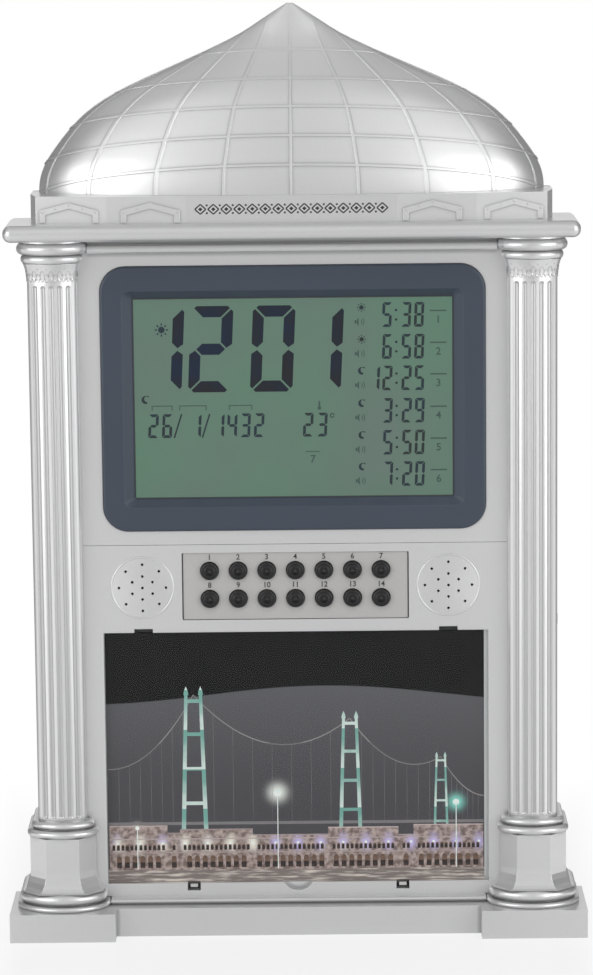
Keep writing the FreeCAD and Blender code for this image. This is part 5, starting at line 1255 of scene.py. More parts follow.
class CLOCK_OT_front_lines(bpy.types.Operator):
    """Joint lines, painted shadow lines round the display and the label, grille rims, and painted shade in the
    notches at the window
    """

    bl_idname = "clock.front_lines"
    bl_label = "Front lines"

    def execute(self, context):
        silver = slot_material("silver_plastic")
        joints = bmesh.new()
        for side in (-1, 1):
            x0, x1 = sorted(side * x * MM for x in JOINT_X)
            z0, z1 = [z * MM for z in JOINT_Z]
            add_bar(joints, x0, x1, z0, z1, (PANEL_FRONT + JOINT_SUNK) * MM, JOINT_THICK * MM)
        make_piece("column_joints", joints, silver, HOUSING)

        # Painted shadow: a thin dark frame round the display's opening, where the bezel's shade falls on the
        # glass
        shade = shared_material("recess_shade", ink_finish, DISPLAY_SHADOW_COLOUR, 0.6)
        display_shadow = bmesh.new()
        opening = [place * MM for place in DISPLAY_OPENING]
        add_frame(display_shadow, opening, DISPLAY_SHADOW_WIDTH * MM, DISPLAY_SHADOW_WIDTH * MM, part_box("lcd_glass")[0].y, FILM * MM)
        make_piece("display_shadow_line", display_shadow, shade, HOUSING)

        # Painted shadow: dark strips round the label plate, wider at its foot, where the recess's shade falls
        low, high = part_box("button_plate")
        label_shadow = bmesh.new()
        plate = (low.x, high.x, low.z, high.z)
        add_frame(label_shadow, plate, LABEL_SHADOW_WIDTH * MM, LABEL_SHADOW_FOOT * MM, low.y + INK_AND_SHADOW_SUNK, INK_AND_SHADOW_THICK)
        edge = shared_material("label_border", ink_finish, LABEL_SHADOW_COLOUR, 0.5)
        make_piece("label_border", label_shadow, edge, HOUSING)

        rims = bmesh.new()
        for node in ("speaker_grille_left", "speaker_grille_right"):
            middle = node_middle(node)
            add_rim(rims, middle.x, middle.z, RIM_RADIUS * MM, RIM_TUBE * MM, (PANEL_FRONT + RIM_SUNK) * MM)
        smooth(make_piece("grille_rims", rims, silver, HOUSING))

        # Painted shade: dark plates on the notches' floors stand for the shade in the slots behind the
        # window's clear tabs
        notch_shade_plates = bmesh.new()
        pips = bmesh.new()
        for side in (-1, 1):
            add_block(notch_shade_plates, side * HOOK_X, HOOK_HALF, HOOK_Z, NOTCH_FLOOR, FILM)
            add_block(notch_shade_plates, side * LATCH_X, LATCH_HALF, LATCH_Z, NOTCH_FLOOR, FILM)
            add_block(pips, side * LATCH_X, PIP_HALF, PIP_Z, PIP_Y, PIP_THICK)
        dark = shared_material("notch_shade", ink_finish, NOTCH_SHADE_COLOUR, 0.7)
        make_piece("window_notch_shades", notch_shade_plates, dark, HOUSING)
        frosted = shared_material("latch_frost", finish, PIP_COLOUR, 0.4)
        make_piece("latch_pips", pips, frosted, body_with("picture_window"))
        return {"FINISHED"}


# ---------------------------------------------------------------- operators: print
LAYER_THICK = 0.02 * MM
LAYER_BACK = 0.01 * MM
# Towers as (middle across, top, width), and the levels that the bridge keeps, in millimetres
TOWERS = ((-41.0, 76.0, 7.6), (21.0, 66.0, 6.6), (57.0, 50.0, 4.4))
TOWER_FOOT = 12.0
TOWER_BEAMS = (0.30, 0.52, 0.74, 0.95)
DECK_Z = 24.0
DECK_EDGES = (-0.9, 0.3)
DECK_INSET = 0.2
CABLE_ENDS = (46.0, 34.0)
CABLE_INSET = 0.3
CABLE_SAG = 0.36
CABLE_WIDTH = 0.42
CABLE_STEPS = 16
HANGER_HALF = 0.045
# Quay: blocks as (left, right, top), its courses of trim, and rows of openings as (pitch, foot, height)
QUAY_BLOCKS = (
    (-75.2, -52.0, 23.0), (-52.0, -47.0, 20.0), (-47.0, -18.0, 21.4), (-18.0, 12.0, 19.0),
    (12.0, 40.0, 21.8), (40.0, 46.0, 18.6), (46.0, 73.8, 22.6),
)
QUAY_FOOT = 4.7
COURSES = (11.6, 17.2)
TOP_COURSE_DROP = 0.5
COURSE_TALL = 0.42
OPENINGS = ((3.1, 5.6, 4.9), (1.8, 12.8, 2.4))
OPENINGS_INSET = 1.6
# Lamp posts, and pools of light along the quay, as many on each side of the middle one
POST_FOOT = 4.9
POST_HALF = 0.18
LAMP_SHARE = 0.17
POOLS = 8
POOL_PITCH = 9.0
POOL_Z = 15.5
POOL_REACH = 3.9
POOL_SQUASH = 0.62
POOL_DOT = 0.55
# Looks of the printed shapes: bright and dim colour, and storeys to the metre
PRINT_LOOKS = {
    "print_towers": ((0.72, 0.80, 0.76), (0.20, 0.42, 0.37), 62.0),
    "print_cables": ((0.34, 0.30, 0.30), (0.22, 0.20, 0.21), 40.0),
    "print_trim": ((0.62, 0.50, 0.49), (0.36, 0.28, 0.28), 150.0),
    "print_arches": ((0.20, 0.12, 0.09), (0.04, 0.03, 0.03), 150.0),
    "print_lamps": ((0.95, 0.95, 0.92), (0.80, 0.86, 0.84), 300.0),
}


# Light in a storey: how ragged it is, the shift that keeps it in its middle, and where it ends
STOREY_RAGGED = 0.5
STOREY_SHIFT = STOREY_RAGGED / 2
STOREY_END = 0.9
# Pairs of colours of the quay's wall and of the lamplight on it, with the range of noise that mixes them
WALL_COLOURS = ((0.200, 0.140, 0.130, 1.0), (0.520, 0.400, 0.375, 1.0))
POOL_COLOURS = ((0.62, 0.52, 0.86, 1.0), (0.96, 0.88, 0.80, 1.0))
WALL_RANGE = (0.35, 0.65)
POOL_POWER = 1.4


def layer(level):
    """Where the back of one printed layer lies: each stands a layer in front of the last."""
    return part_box("picture_print")[0].y + LAYER_BACK - level * LAYER_THICK


def lit_material(name, bright, shade, scale):
    """Floodlit stone or steel in the print: bright at the foot of each storey and darker above."""
    material, tree, shader, place = printed_surface(name)
    storey = math_node(tree, "FRACT", math_node(tree, "MULTIPLY", place["Z"], scale))
    lower = math_node(tree, "SUBTRACT", storey, STOREY_SHIFT)
    noise = put(tree, "ShaderNodeTexNoise", {}, {"Vector": own_place(tree), "Scale": 420.0, "Detail": 5.0})
    ragged = math_node(tree, "MULTIPLY_ADD", noise.outputs["Fac"], STOREY_RAGGED, lower)
    colour = blend_colours(tree, spread(tree, ragged, 0.0, STOREY_END), rgba(bright), rgba(shade))
    tree.links.new(colour, shader.inputs["Base Color"])
    return material


def stone_material(name):
    """Floodlit stone of the quay in the print: pools of light along a warm, dim wall."""
    material, tree, shader, place = printed_surface(name)
    grit = put(tree, "ShaderNodeTexNoise", {}, {"Vector": own_place(tree), "Scale": 480.0, "Detail": 6.0})
    wall = blend_colours(tree, spread(tree, grit.outputs["Fac"], *WALL_RANGE), *WALL_COLOURS)
    beside = math_node(tree, "PINGPONG", place["X"], POOL_PITCH / 2 * MM)
    below = math_node(tree, "SUBTRACT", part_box("picture_print")[0].z + POOL_Z * MM, place["Z"])
    offset = put(tree, "ShaderNodeCombineXYZ", {}, {
        0: beside, 1: math_node(tree, "MULTIPLY", below, POOL_SQUASH)})
    distance = put(tree, "ShaderNodeVectorMath", {"operation": "LENGTH"}, {0: offset.outputs[0]})
    near = spread(tree, distance.outputs["Value"], POOL_REACH * MM, 0.0)
    pool = math_node(tree, "POWER", near, POOL_POWER)
    tint = use_effect(tree, "drift", {"Scale": 38.0}).outputs["Drift"]
    glow = blend_colours(tree, spread(tree, tint, *WALL_RANGE), *POOL_COLOURS)
    tree.links.new(blend_colours(tree, pool, wall, glow), shader.inputs["Base Color"])
    return material


# Tower as shares of its width: its legs, and how far out they stand at their foot and head
LEG_WIDTH = 0.24
LEGS_FOOT = 0.62
LEGS_HEAD = 0.38
# The top of a leg, its cap and its beams as shares of the leg's width
LEG_TOP_HALF = 0.36
CAP_HALF = 0.55
CAP_SHOULDER = (0.4, 0.9)
CAP_TIP = 1.9
BEAM_TALL = 0.8


def add_tower(shape, x, top, width, foot, y, thick):
    """A bridge tower: two legs that lean in, four cross beams and two caps."""
    leg = LEG_WIDTH * width
    shoulder, lift = [leg * share for share in CAP_SHOULDER]
    for side in (-1, 1):
        low_x = x + side * width * LEGS_FOOT
        high_x = x + side * width * LEGS_HEAD
        corners = [(low_x - leg / 2, foot), (low_x + leg / 2, foot)]
        corners += [(high_x + leg * LEG_TOP_HALF, top), (high_x - leg * LEG_TOP_HALF, top)]
        add_plate(shape, corners, y, thick)
        cap = [(high_x - leg * CAP_HALF, top), (high_x + leg * CAP_HALF, top)]
        cap += [(high_x + shoulder, top + lift), (high_x, top + leg * CAP_TIP)]
        cap += [(high_x - shoulder, top + lift)]
        add_plate(shape, cap, y, thick)
    rise = top - foot
    for share in TOWER_BEAMS:
        half = width * (LEGS_FOOT - (LEGS_FOOT - LEGS_HEAD) * share)
        z = foot + rise * share
        add_bar(shape, x - half, x + half, z, z + leg * BEAM_TALL, y - thick / 2, thick)


def add_cable(shape, x0, z0, x1, z1, sag, deck, y, thick):
    """A hanging cable between two points, with its hangers down to the deck."""
    points = []
    for index in range(CABLE_STEPS + 1):
        share = index / CABLE_STEPS
        drop = 4.0 * sag * share * (1.0 - share)
        points.append((x0 + (x1 - x0) * share, z0 + (z1 - z0) * share - drop))
    add_strip(shape, points, CABLE_WIDTH * MM, y, thick)
    for x, z in points[2:-1:2]:
        if z > deck:
            add_bar(shape, x - HANGER_HALF * MM, x + HANGER_HALF * MM, deck, z, y, thick)


ARCH_HALF = 0.32  # of the distance between two openings


def add_arcade(shape, x0, count, pitch, foot, height, y, thick):
    """A row of round-headed openings."""
    for index in range(count):
        x = x0 + index * pitch
        half = ARCH_HALF * pitch
        spring = foot + height - half
        corners = [(x - half, foot), (x + half, foot)] + arc_points(x, spring, half, 0.0, 180.0, 8)
        add_plate(shape, corners, y, thick)


def draw_bridge(low, high, towers, cables):
    """Towers, cables and deck of the bridge."""
    deck = low.z + DECK_Z * MM
    tops = []
    for x, top, width in TOWERS:
        add_tower(towers, x * MM, low.z + top * MM, width * MM, low.z + TOWER_FOOT * MM, layer(2),
                  LAYER_THICK)
        tops.append((x * MM, low.z + top * MM))
    first = (low.x + CABLE_INSET * MM, low.z + CABLE_ENDS[0] * MM)
    last = (high.x - CABLE_INSET * MM, low.z + CABLE_ENDS[1] * MM)
    ends = [first] + tops + [last]
    for start, end in zip(ends, ends[1:]):
        sag = CABLE_SAG * (min(start[1], end[1]) - deck)
        add_cable(cables, *start, *end, sag, deck, layer(1), LAYER_THICK)
    z0, z1 = [deck + edge * MM for edge in DECK_EDGES]
    add_bar(cables, low.x + DECK_INSET * MM, high.x - DECK_INSET * MM, z0, z1, layer(1), LAYER_THICK)


def draw_quay(low, quay, trim, arches):
    """The quay's blocks with their courses of trim and their rows of openings."""
    for x0, x1, top in QUAY_BLOCKS:
        add_bar(quay, x0 * MM, x1 * MM, low.z + QUAY_FOOT * MM, low.z + top * MM, layer(3), LAYER_THICK)
        for course in COURSES + (top - TOP_COURSE_DROP,):
            z0, z1 = low.z + course * MM, low.z + (course + COURSE_TALL) * MM
            add_bar(trim, x0 * MM, x1 * MM, z0, z1, layer(4), LAYER_THICK)
        for pitch, foot, tall in OPENINGS:
            count = int((x1 - x0 - OPENINGS_INSET) / pitch)
            start = (x0 + x1) / 2 - pitch * (count - 1) / 2
            add_arcade(arches, start * MM, count, pitch * MM, low.z + foot * MM, tall * MM, layer(4),
                       LAYER_THICK)


def draw_lamps(low, lamps):
    """Lamp posts with their lamps, and a lamp in the middle of each pool of light."""
    for x, z, reach, _ in PRINT_GLOWS:
        add_bar(lamps, (x - POST_HALF) * MM, (x + POST_HALF) * MM, low.z + POST_FOOT * MM, low.z + z * MM,
                layer(5), LAYER_THICK)
        add_disc(lamps, x * MM, low.z + z * MM, LAMP_SHARE * reach * MM, layer(6), LAYER_THICK, 18)
    for index in range(-POOLS, POOLS + 1):
        add_disc(lamps, index * POOL_PITCH * MM, low.z + POOL_Z * MM, POOL_DOT * MM, layer(5), LAYER_THICK,
                 10)


class CLOCK_OT_night_print(bpy.types.Operator):
    """The picture on the print: a floodlit bridge and an arcaded quay at night"""

    bl_idname = "clock.night_print"
    bl_label = "Night print"

    def execute(self, context):
        low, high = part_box("picture_print")
        names = ("print_towers", "print_cables", "print_quay", "print_trim", "print_arches", "print_lamps")
        shapes = {name: bmesh.new() for name in names}
        draw_bridge(low, high, shapes["print_towers"], shapes["print_cables"])
        draw_quay(low, shapes["print_quay"], shapes["print_trim"], shapes["print_arches"])
        draw_lamps(low, shapes["print_lamps"])
        for name, shape in shapes.items():
            if name in PRINT_LOOKS:
                material = shared_material(name, lit_material, *PRINT_LOOKS[name])
            else:
                material = shared_material(name, stone_material)
            make_piece(name, shape, material, HOUSING)
        return {"FINISHED"}


# ---------------------------------------------------------------- operators: ornaments
# Plan of the shaft: half its width, the radii of its bowed front and of its corners, and its middle front
SHAFT_HALF = 9.65 * MM
SHAFT_BOW = 13.6 * MM
SHAFT_CORNER = 2.5 * MM
SHAFT_FRONT = Vector((93.15 * MM, -19.65 * MM, 0.0))
# Bell of the capital: its foot, height and swell, and how far out and up its bend is, as shares
BELL_FOOT = 260.4 * MM
BELL_HEIGHT = 7.4 * MM
BELL_OUT = 1.55 * MM
BELL_BEND = (0.3, 0.6)
# Leaves: their places along the bell, short ones between the tall ones with a pellet over each
LEAF_PLACES = range(-7, 11)
LEAF_PITCH = 1.675 * MM
SHORT_LEAF = 0.72
LEAF_FOOT = 0.3 * MM
LEAF_SUNK = 0.1 * MM
LEAF_RIM = 0.36 * MM
LEAF_HOLLOW = 0.25 * MM
# How much a leaf narrows towards its foot, and how late
LEAF_NARROWS = 0.6
LEAF_POWER = 1.5
PELLET_RISE = 1.25
PELLET_RADIUS = 0.34 * MM


def bell_swell(up):
    """How far the bell stands past the shaft at one level above its foot."""
    share = min(max(up / BELL_HEIGHT, 0.0), 1.0)
    bend_out, bend_up = BELL_BEND
    power = math.log(bend_out) / math.log(bend_up)
    return BELL_OUT * share ** power


def shaft_place(along, out):
    """The point and outward direction on the shaft's plan, from its middle front towards its outer side."""
    turn_end = math.asin((SHAFT_HALF - SHAFT_CORNER) / (SHAFT_BOW - SHAFT_CORNER))
    distance = abs(along)
    sign = 1.0 if along >= 0.0 else -1.0
    bow_run = SHAFT_BOW * turn_end
    corner_run = SHAFT_CORNER * (math.pi / 2 - turn_end)
    corner_x = SHAFT_HALF - SHAFT_CORNER
    corner_y = SHAFT_BOW - (SHAFT_BOW - SHAFT_CORNER) * math.cos(turn_end)
    if distance <= bow_run:
        turn = distance / SHAFT_BOW
        x = (SHAFT_BOW + out) * math.sin(turn)
        y = SHAFT_BOW - (SHAFT_BOW + out) * math.cos(turn)
    elif distance <= bow_run + corner_run:
        turn = turn_end + (distance - bow_run) / SHAFT_CORNER
        x = corner_x + (SHAFT_CORNER + out) * math.sin(turn)
        y = corner_y - (SHAFT_CORNER + out) * math.cos(turn)
    else:
        x = SHAFT_HALF + out
        y = corner_y + distance - bow_run - corner_run
    return sign * x, y


def wrap_on_bell(verts, side, along):
    """Moves points given as (along, out, up) on to the bell of one column."""
    for vert in verts:
        x, y = shaft_place(along + vert.co.x, vert.co.y + bell_swell(vert.co.z))
        place = SHAFT_FRONT + Vector((x, y, BELL_FOOT + vert.co.z))
        place.x *= side
        vert.co = place


def add_leaf(shape, side, along, width, height, relief):
    """One leaf: a pointed outline with a raised rim and a hollow middle."""
    ring = bmesh.ops.create_circle(shape, cap_ends=True, segments=16, radius=1.0)["verts"]
    for vert in ring:
        turn = math.atan2(vert.co.y, vert.co.x)
        narrow = 1.0 - LEAF_NARROWS * max(-math.sin(turn), 0.0) ** LEAF_POWER
        up = LEAF_FOOT + height * (0.5 + 0.5 * math.sin(turn))
        vert.co = (width / 2 * math.cos(turn) * narrow, -LEAF_SUNK, up)
    face = ring[0].link_faces[0]
    rim = bmesh.ops.inset_individual(shape, faces=[face], thickness=LEAF_RIM)["faces"]
    bmesh.ops.inset_individual(shape, faces=[face], thickness=LEAF_HOLLOW)
    raised = {vert for item in rim for vert in item.verts}
    for vert in raised.difference(ring):
        vert.co.y = relief
    wrap_on_bell(raised.union(face.verts, ring), side, along)


def add_pellet(shape, side, along, up, radius, relief):
    """A small half-round pellet over a leaf."""
    made = bmesh.ops.create_icosphere(shape, subdivisions=1, radius=radius)
    for vert in made["verts"]:
        vert.co = (vert.co.x, vert.co.y * relief / radius, vert.co.z + up)
    wrap_on_bell(made["verts"], side, along)


class CLOCK_OT_capital_leaves(bpy.types.Operator):
    """A band of leaves and pellets round the bell of each column"""

    bl_idname = "clock.capital_leaves"
    bl_label = "Capital leaves"

    def execute(self, context):
        sizes = context.scene.clock_ornament
        for node, side in (("left_column", -1), ("right_column", 1)):
            shape = bmesh.new()
            for index in LEAF_PLACES:
                along = index * LEAF_PITCH
                share = SHORT_LEAF if index % 2 else 1.0
                add_leaf(shape, side, along, sizes.leaf_width, share * sizes.leaf_height, sizes.relief)
                if index % 2:
                    rise = PELLET_RISE * sizes.leaf_height
                    add_pellet(shape, side, along, rise, PELLET_RADIUS, sizes.relief)
            piece = make_piece(node + "_leaves", shape, slot_material("silver_plastic"), HOUSING)
            smooth(piece)
        return {"FINISHED"}


# Frieze, in millimetres: half-width and depth at each corner of its plan, and its foot
FRIEZE_CORNERS = ((40.6, -22.5), (71.2, -20.5), (98.7, -17.5))
FRIEZE_FOOT = 283.4
# Beads on a gable, from the middle of its facet's foot, and how far each facet's gable is off that middle
GABLE_POINTS = ((-10.35, 4.0), (-5.2, 5.45), (0.0, 6.75), (5.2, 5.45), (10.35, 4.0))
GABLE_SHIFTS = (-1.6, 0.8)
GABLE_RISE = 0.4
GABLE_OUT = 0.4
# Row of lozenges: how many stand on each side of the middle one, their size, and the dots between them
LOZENGES = 7
LOZENGE_RISE = 5.4
LOZENGE_PITCH = 5.0
LOZENGE_HALF = (2.1, 1.9)
LOZENGE_STROKE = 0.52
CORE_HALF = (0.85, 0.8)
DOT_RISE = 1.5
DOT_RADIUS = 0.42


class CLOCK_OT_gable_beads(bpy.types.Operator):
    """Five beads on each of the four gables of the frieze"""

    bl_idname = "clock.gable_beads"
    bl_label = "Gable beads"

    def execute(self, context):
        radius = context.scene.clock_ornament.bead
        shape = bmesh.new()
        for side in (-1, 1):
            for (x0, y0), (x1, y1), shift in zip(FRIEZE_CORNERS, FRIEZE_CORNERS[1:], GABLE_SHIFTS):
                along = Vector((x1 - x0, y1 - y0, 0.0)).normalized()
                out = Vector((along.y, -along.x, 0.0))
                middle = Vector(((x0 + x1) / 2, (y0 + y1) / 2, FRIEZE_FOOT + GABLE_RISE))
                for across, up in GABLE_POINTS:
                    place = middle + along * (across + shift) + out * GABLE_OUT
                    centre = (place + Vector((0.0, 0.0, up))) * MM
                    centre.x *= side
                    bead = bmesh.ops.create_icosphere(shape, subdivisions=2, radius=radius)
                    bmesh.ops.translate(shape, verts=bead["verts"], vec=centre)
        piece = make_piece("gable_beads", shape, slot_material("silver_plastic"), HOUSING)
        smooth(piece)
        return {"FINISHED"}


def lozenge(x, z, halves):
    """The corners of a lozenge from the middle and its half width and half height in millimetres."""
    half, tall = [value * MM for value in halves]
    return [(x - half, z), (x, z + tall), (x + half, z), (x, z - tall)]


class CLOCK_OT_frieze_ornament(bpy.types.Operator):
    """A printed row of lozenges and dots on the middle of the frieze"""

    bl_idname = "clock.frieze_ornament"
    bl_label = "Frieze ornament"

    def execute(self, context):
        y = FRIEZE_CORNERS[0][1] * MM + INK_AND_SHADOW_SUNK
        middle = (FRIEZE_FOOT + LOZENGE_RISE) * MM
        pitch = LOZENGE_PITCH * MM
        shape = bmesh.new()
        for index in range(-LOZENGES, LOZENGES + 1):
            x = index * pitch
            corners = lozenge(x, middle, LOZENGE_HALF)
            for start, end in zip(corners, corners[1:] + corners[:1]):
                add_strip(shape, [start, end], LOZENGE_STROKE * MM, y, INK_AND_SHADOW_THICK)
            add_plate(shape, lozenge(x, middle, CORE_HALF), y, INK_AND_SHADOW_THICK)
            if index < LOZENGES:
                for lift in (-DOT_RISE * MM, DOT_RISE * MM):
                    add_disc(shape, x + pitch / 2, middle + lift, DOT_RADIUS * MM, y, INK_AND_SHADOW_THICK, 10)
        ink_and_shadow_look = shared_material("label_ink", ink_finish, LABEL_INK, 0.5)
        make_piece("frieze_ornament", shape, ink_and_shadow_look, HOUSING)
        return {"FINISHED"}


# ---------------------------------------------------------------- operators: screws
CROSS_ARM = 1.35 * MM
CROSS_HALF = 0.3 * MM
CROSS_OUT = 0.03 * MM
CROSS_THICK = 0.08 * MM
CROSS_SHADOW_COLOUR = (0.03, 0.03, 0.03)


def loose_parts(node):
    """The box of each separate solid in a CAD node that is a group."""
    copy = bmesh.new()
    copy.from_mesh(frame["nodes"][node].data)
    bmesh.ops.remove_doubles(copy, verts=copy.verts, dist=1e-6)
    waiting = set(copy.verts)
    boxes = []
    while waiting:
        stack = [waiting.pop()]
        low = stack[0].co.copy()
        high = stack[0].co.copy()
        while stack:
            vert = stack.pop()
            low = Vector(map(min, low, vert.co))
            high = Vector(map(max, high, vert.co))
            for edge in vert.link_edges:
                other = edge.other_vert(vert)
                if other in waiting:
                    waiting.remove(other)
                    stack.append(other)
        boxes.append((low, high))
    copy.free()
    return sorted(boxes, key=lambda box: (round(box[0].x, 4), round(box[0].z, 4)))


class CLOCK_OT_screw_crosses(bpy.types.Operator):
    """A dark cross on each screw head: painted shadow of a cross recess"""

    bl_idname = "clock.screw_crosses"
    bl_label = "Screw crosses"

    def execute(self, context):
        # Painted shadow: thin dark crosses stand for the shade inside the screws' recesses
        shape = bmesh.new()
        for node in ("cover_screws", "column_screws", "board_screws"):
            for low, high in loose_parts(node):
                x = (low.x + high.x) / 2
                z = (low.z + high.z) / 2
                for across, up in ((CROSS_ARM, CROSS_HALF), (CROSS_HALF, CROSS_ARM)):
                    add_bar(shape, x - across, x + across, z - up, z + up, high.y + CROSS_OUT, CROSS_THICK)
        ink_and_shadow_look = shared_material("recess_shadow", ink_finish, CROSS_SHADOW_COLOUR, 0.6)
        make_piece("screw_crosses", shape, ink_and_shadow_look, HOUSING)
        return {"FINISHED"}


# ---------------------------------------------------------------- operators: stage
# Camera: place in millimetres, how far it looks down, its turn and roll, and its focal length in pixels
CAMERA_PLACE = Vector((6.4, -1531.7, 433.4)) * MM
CAMERA_DOWN = math.radians(9.53)
CAMERA_TURN = math.radians(0.21)
CAMERA_ROLL = math.radians(-0.601)
FOCAL_PIXELS = 3934.7
IMAGE_HEIGHT = 975
SENSOR_HEIGHT = 24.0
CLIP = (0.05, 60.0)
# Lamps, in metres
LAMP_TARGET = (0.0, 0.0, 0.17)
SIDE_LAMP = (1.0, -1.0, 0.3)
SIDE_LAMP_SIZE = (0.85, 1.0)
TOP_LAMP = (0.0, -1.1, 1.45)
TOP_LAMP_SIZE = (1.2, 0.6)
# Floor: where it starts to turn white and is white, beside the clock and before it, in metres
FLOOR_COLOUR = (0.86, 0.86, 0.86, 1.0)
FLOOR_ROUGH = 0.32
BESIDE_FADE = (0.1, 0.14, 0.76, 1.0)
BEFORE_FADE = (0.03, 0.26, 0.76, 1.0)
# Floor as glossy surfaces see it: dimmer far in front, behind the clock, and in a lane down its middle
FRONT_SWEEP = (-2.6, -0.25, 0.5, 1.0)
BACK_SWEEP = (0.0, 0.1, 1.0, 0.25)
LANE = (0.04, 0.22, 0.62, 1.0)
# Room as glossy surfaces see it: screens ahead on both sides, a backdrop, light above, and a dim rest
AHEAD = (-0.2, -0.6, 0.0, 1.0)
SCREENS = (0.03, 0.34, 0.45, 1.0)
BACKDROP = (0.86, 0.97, 0.0, 1.0)
ABOVE = (0.4, 0.95, 0.0, 0.4)
ROOM_LEAST = 0.1
WHITE = (1.0, 1.0, 1.0, 1.0)


def floor_material():
    """Pale floor: it takes the clock's shadow close by and fades to plain white further out."""
    material, tree, shader = new_material("stage_floor")
    shader.inputs["Base Color"].default_value = FLOOR_COLOUR
    shader.inputs["Roughness"].default_value = FLOOR_ROUGH
    shader.inputs["Specular IOR Level"].default_value = 0.5
    straight, seen = seen_rays(tree)
    parts = put(tree, "ShaderNodeSeparateXYZ", {}, {0: own_place(tree)})
    aside = math_node(tree, "ABSOLUTE", parts.outputs["X"])
    beside = spread(tree, aside, *BESIDE_FADE)
    before = spread(tree, math_node(tree, "ABSOLUTE", parts.outputs["Y"]), *BEFORE_FADE)
    far = math_node(tree, "MAXIMUM", beside, before)
    sweep = math_node(tree, "MULTIPLY", spread(tree, parts.outputs["Y"], *FRONT_SWEEP),
                      spread(tree, parts.outputs["Y"], *BACK_SWEEP))
    sweep = math_node(tree, "MULTIPLY", sweep, spread(tree, aside, *LANE))
    white = put(tree, "ShaderNodeEmission", {}, {
        "Color": WHITE, "Strength": math_node(tree, "MAXIMUM", sweep, straight)})
    factor = math_node(tree, "MULTIPLY", far, seen)
    mix = put(tree, "ShaderNodeMixShader", {}, {0: factor, 1: shader.outputs[0], 2: white.outputs[0]})
    show_instead(tree, mix.outputs[0])
    return material


def studio_world(strength):
    """Soft light all round; straight rays see plain white, and glossy rays see the room."""
    world = bpy.data.worlds.new("studio")
    world.use_nodes = True
    tree = world.node_tree
    tree.nodes.clear()
    straight, seen = seen_rays(tree)
    soft = put(tree, "ShaderNodeBackground", {}, {"Color": WHITE, "Strength": strength})
    around = put(tree, "ShaderNodeSeparateXYZ", {}, {0: put(tree, "ShaderNodeTexCoord").outputs["Generated"]})
    sides = spread(tree, math_node(tree, "ABSOLUTE", around.outputs["X"]), *SCREENS)
    screens = math_node(tree, "MULTIPLY", spread(tree, around.outputs["Y"], *AHEAD), sides)
    backdrop = spread(tree, around.outputs["Y"], *BACKDROP)
    above = spread(tree, around.outputs["Z"], *ABOVE)
    room = math_node(tree, "MAXIMUM", math_node(tree, "MAXIMUM", screens, above), backdrop)
    room = math_node(tree, "MINIMUM", math_node(tree, "ADD", room, ROOM_LEAST), 1.0)
    white = put(tree, "ShaderNodeBackground", {}, {
        "Color": WHITE, "Strength": math_node(tree, "MAXIMUM", room, straight)})
    mix = put(tree, "ShaderNodeMixShader", {}, {0: seen, 1: soft.outputs[0], 2: white.outputs[0]})
    put(tree, "ShaderNodeOutputWorld", {}, {"Surface": mix.outputs[0]})
    return world


def add_floor(radius):
    """A round floor."""
    shape = bmesh.new()
    bmesh.ops.create_circle(shape, cap_ends=True, segments=96, radius=radius)
    mesh = bpy.data.meshes.new("floor")
    shape.to_mesh(mesh)
    shape.free()
    mesh.materials.append(floor_material())
    floor = bpy.data.objects.new("floor", mesh)
    bpy.context.scene.collection.objects.link(floor)


def add_lamp(name, place, size, power):
    """A large soft lamp aimed at the clock."""
    data = bpy.data.lights.new(name, "AREA")
    data.shape = "RECTANGLE"
    data.size = size[0]
    data.size_y = size[1]
    data.energy = power
    lamp = bpy.data.objects.new(name, data)
    lamp.location = place
    lamp.rotation_euler = (Vector(LAMP_TARGET) - Vector(place)).to_track_quat("-Z", "Y").to_euler()
    bpy.context.scene.collection.objects.link(lamp)
    return lamp


def add_camera():
    """The camera that looks at the clock's front from a little above."""
    data = bpy.data.cameras.new("camera")
    data.sensor_fit = "VERTICAL"
    data.sensor_height = SENSOR_HEIGHT
    data.lens = FOCAL_PIXELS / IMAGE_HEIGHT * data.sensor_height
    data.clip_start, data.clip_end = CLIP
    camera = bpy.data.objects.new("camera", data)
    turn = Matrix.Rotation(CAMERA_TURN, 4, "Z") @ Matrix.Rotation(math.pi / 2 - CAMERA_DOWN, 4, "X")
    camera.matrix_world = Matrix.Translation(CAMERA_PLACE) @ turn @ Matrix.Rotation(CAMERA_ROLL, 4, "Z")
    bpy.context.scene.collection.objects.link(camera)
    bpy.context.scene.camera = camera


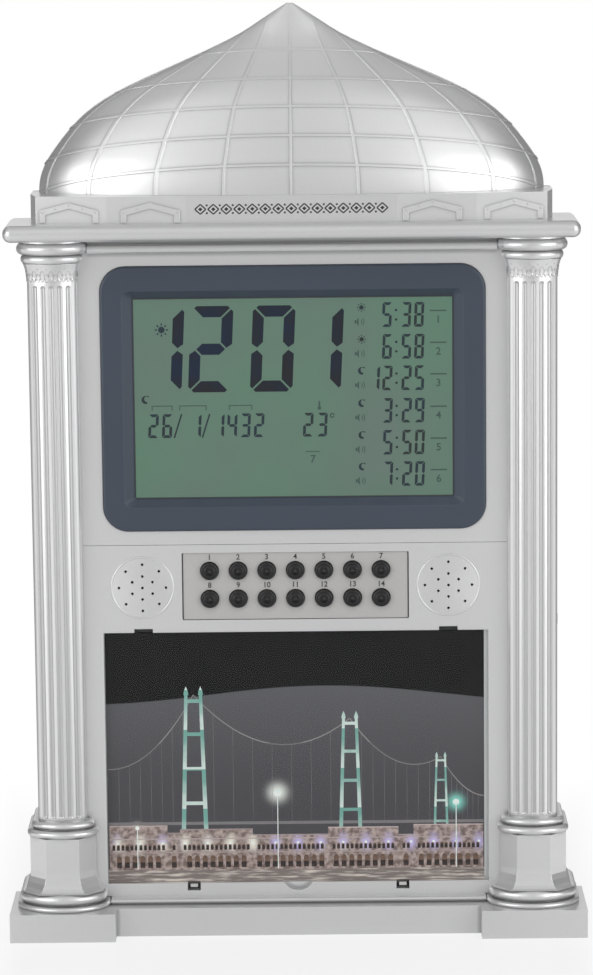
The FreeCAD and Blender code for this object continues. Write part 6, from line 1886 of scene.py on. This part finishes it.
class CLOCK_OT_stage(bpy.types.Operator):
    """Floor, lamps, soft light all round and the camera"""

    bl_idname = "clock.stage"
    bl_label = "Stage"

    def execute(self, context):
        stage = context.scene.clock_stage
        add_floor(stage.floor)
        context.scene.world = studio_world(stage.sky)
        across, y, z = SIDE_LAMP
        add_lamp("left_lamp", (-across, y, z), SIDE_LAMP_SIZE, stage.key)
        add_lamp("right_lamp", (across, y, z), SIDE_LAMP_SIZE, stage.fill)
        top_lamp = add_lamp("top_lamp", TOP_LAMP, TOP_LAMP_SIZE, stage.top)
        top_lamp.visible_glossy = False
        add_camera()
        context.scene.view_settings.view_transform = "Standard"
        return {"FINISHED"}


# ---------------------------------------------------------------- panel and registration
OPERATORS = (
    CLOCK_OT_housing_finish,
    CLOCK_OT_front_finish,
    CLOCK_OT_inner_finish,
    CLOCK_OT_display_time,
    CLOCK_OT_display_rows,
    CLOCK_OT_display_date,
    CLOCK_OT_button_rings,
    CLOCK_OT_button_numbers,
    CLOCK_OT_front_lines,
    CLOCK_OT_night_print,
    CLOCK_OT_capital_leaves,
    CLOCK_OT_gable_beads,
    CLOCK_OT_frieze_ornament,
    CLOCK_OT_screw_crosses,
    CLOCK_OT_stage,
)
SETTINGS = (
    ("clock_finish", ClockFinish),
    ("clock_display", ClockDisplay),
    ("clock_ornament", ClockOrnament),
    ("clock_stage", ClockStage),
)


class CLOCK_PT_looks(bpy.types.Panel):
    """Lists every step of the clock's looks"""

    bl_idname = "CLOCK_PT_looks"
    bl_label = "Azan clock"
    bl_space_type = "VIEW_3D"
    bl_region_type = "UI"
    bl_category = "Clock"

    def draw(self, context):
        for setting, group in SETTINGS:
            box = self.layout.box()
            box.label(text=group.__doc__)
            for prop in group.__annotations__:
                box.prop(getattr(context.scene, setting), prop)
        for operator in OPERATORS:
            self.layout.operator(operator.bl_idname)


def register():
    """Registers the settings, operators and panel."""
    for setting, group in SETTINGS:
        bpy.utils.register_class(group)
        setattr(bpy.types.Scene, setting, bpy.props.PointerProperty(type=group))
    for operator in OPERATORS:
        bpy.utils.register_class(operator)
    bpy.utils.register_class(CLOCK_PT_looks)


def unregister():
    """Takes them out again."""
    bpy.utils.unregister_class(CLOCK_PT_looks)
    for operator in reversed(OPERATORS):
        bpy.utils.unregister_class(operator)
    for setting, group in reversed(SETTINGS):
        delattr(bpy.types.Scene, setting)
        bpy.utils.unregister_class(group)


def main():
    """Dresses the clock."""
    register()
    for operator in OPERATORS:
        family, name = operator.bl_idname.split(".")
        getattr(getattr(bpy.ops, family), name)()
    bpy.context.view_layer.update()


if __name__ == "__main__":
    main()
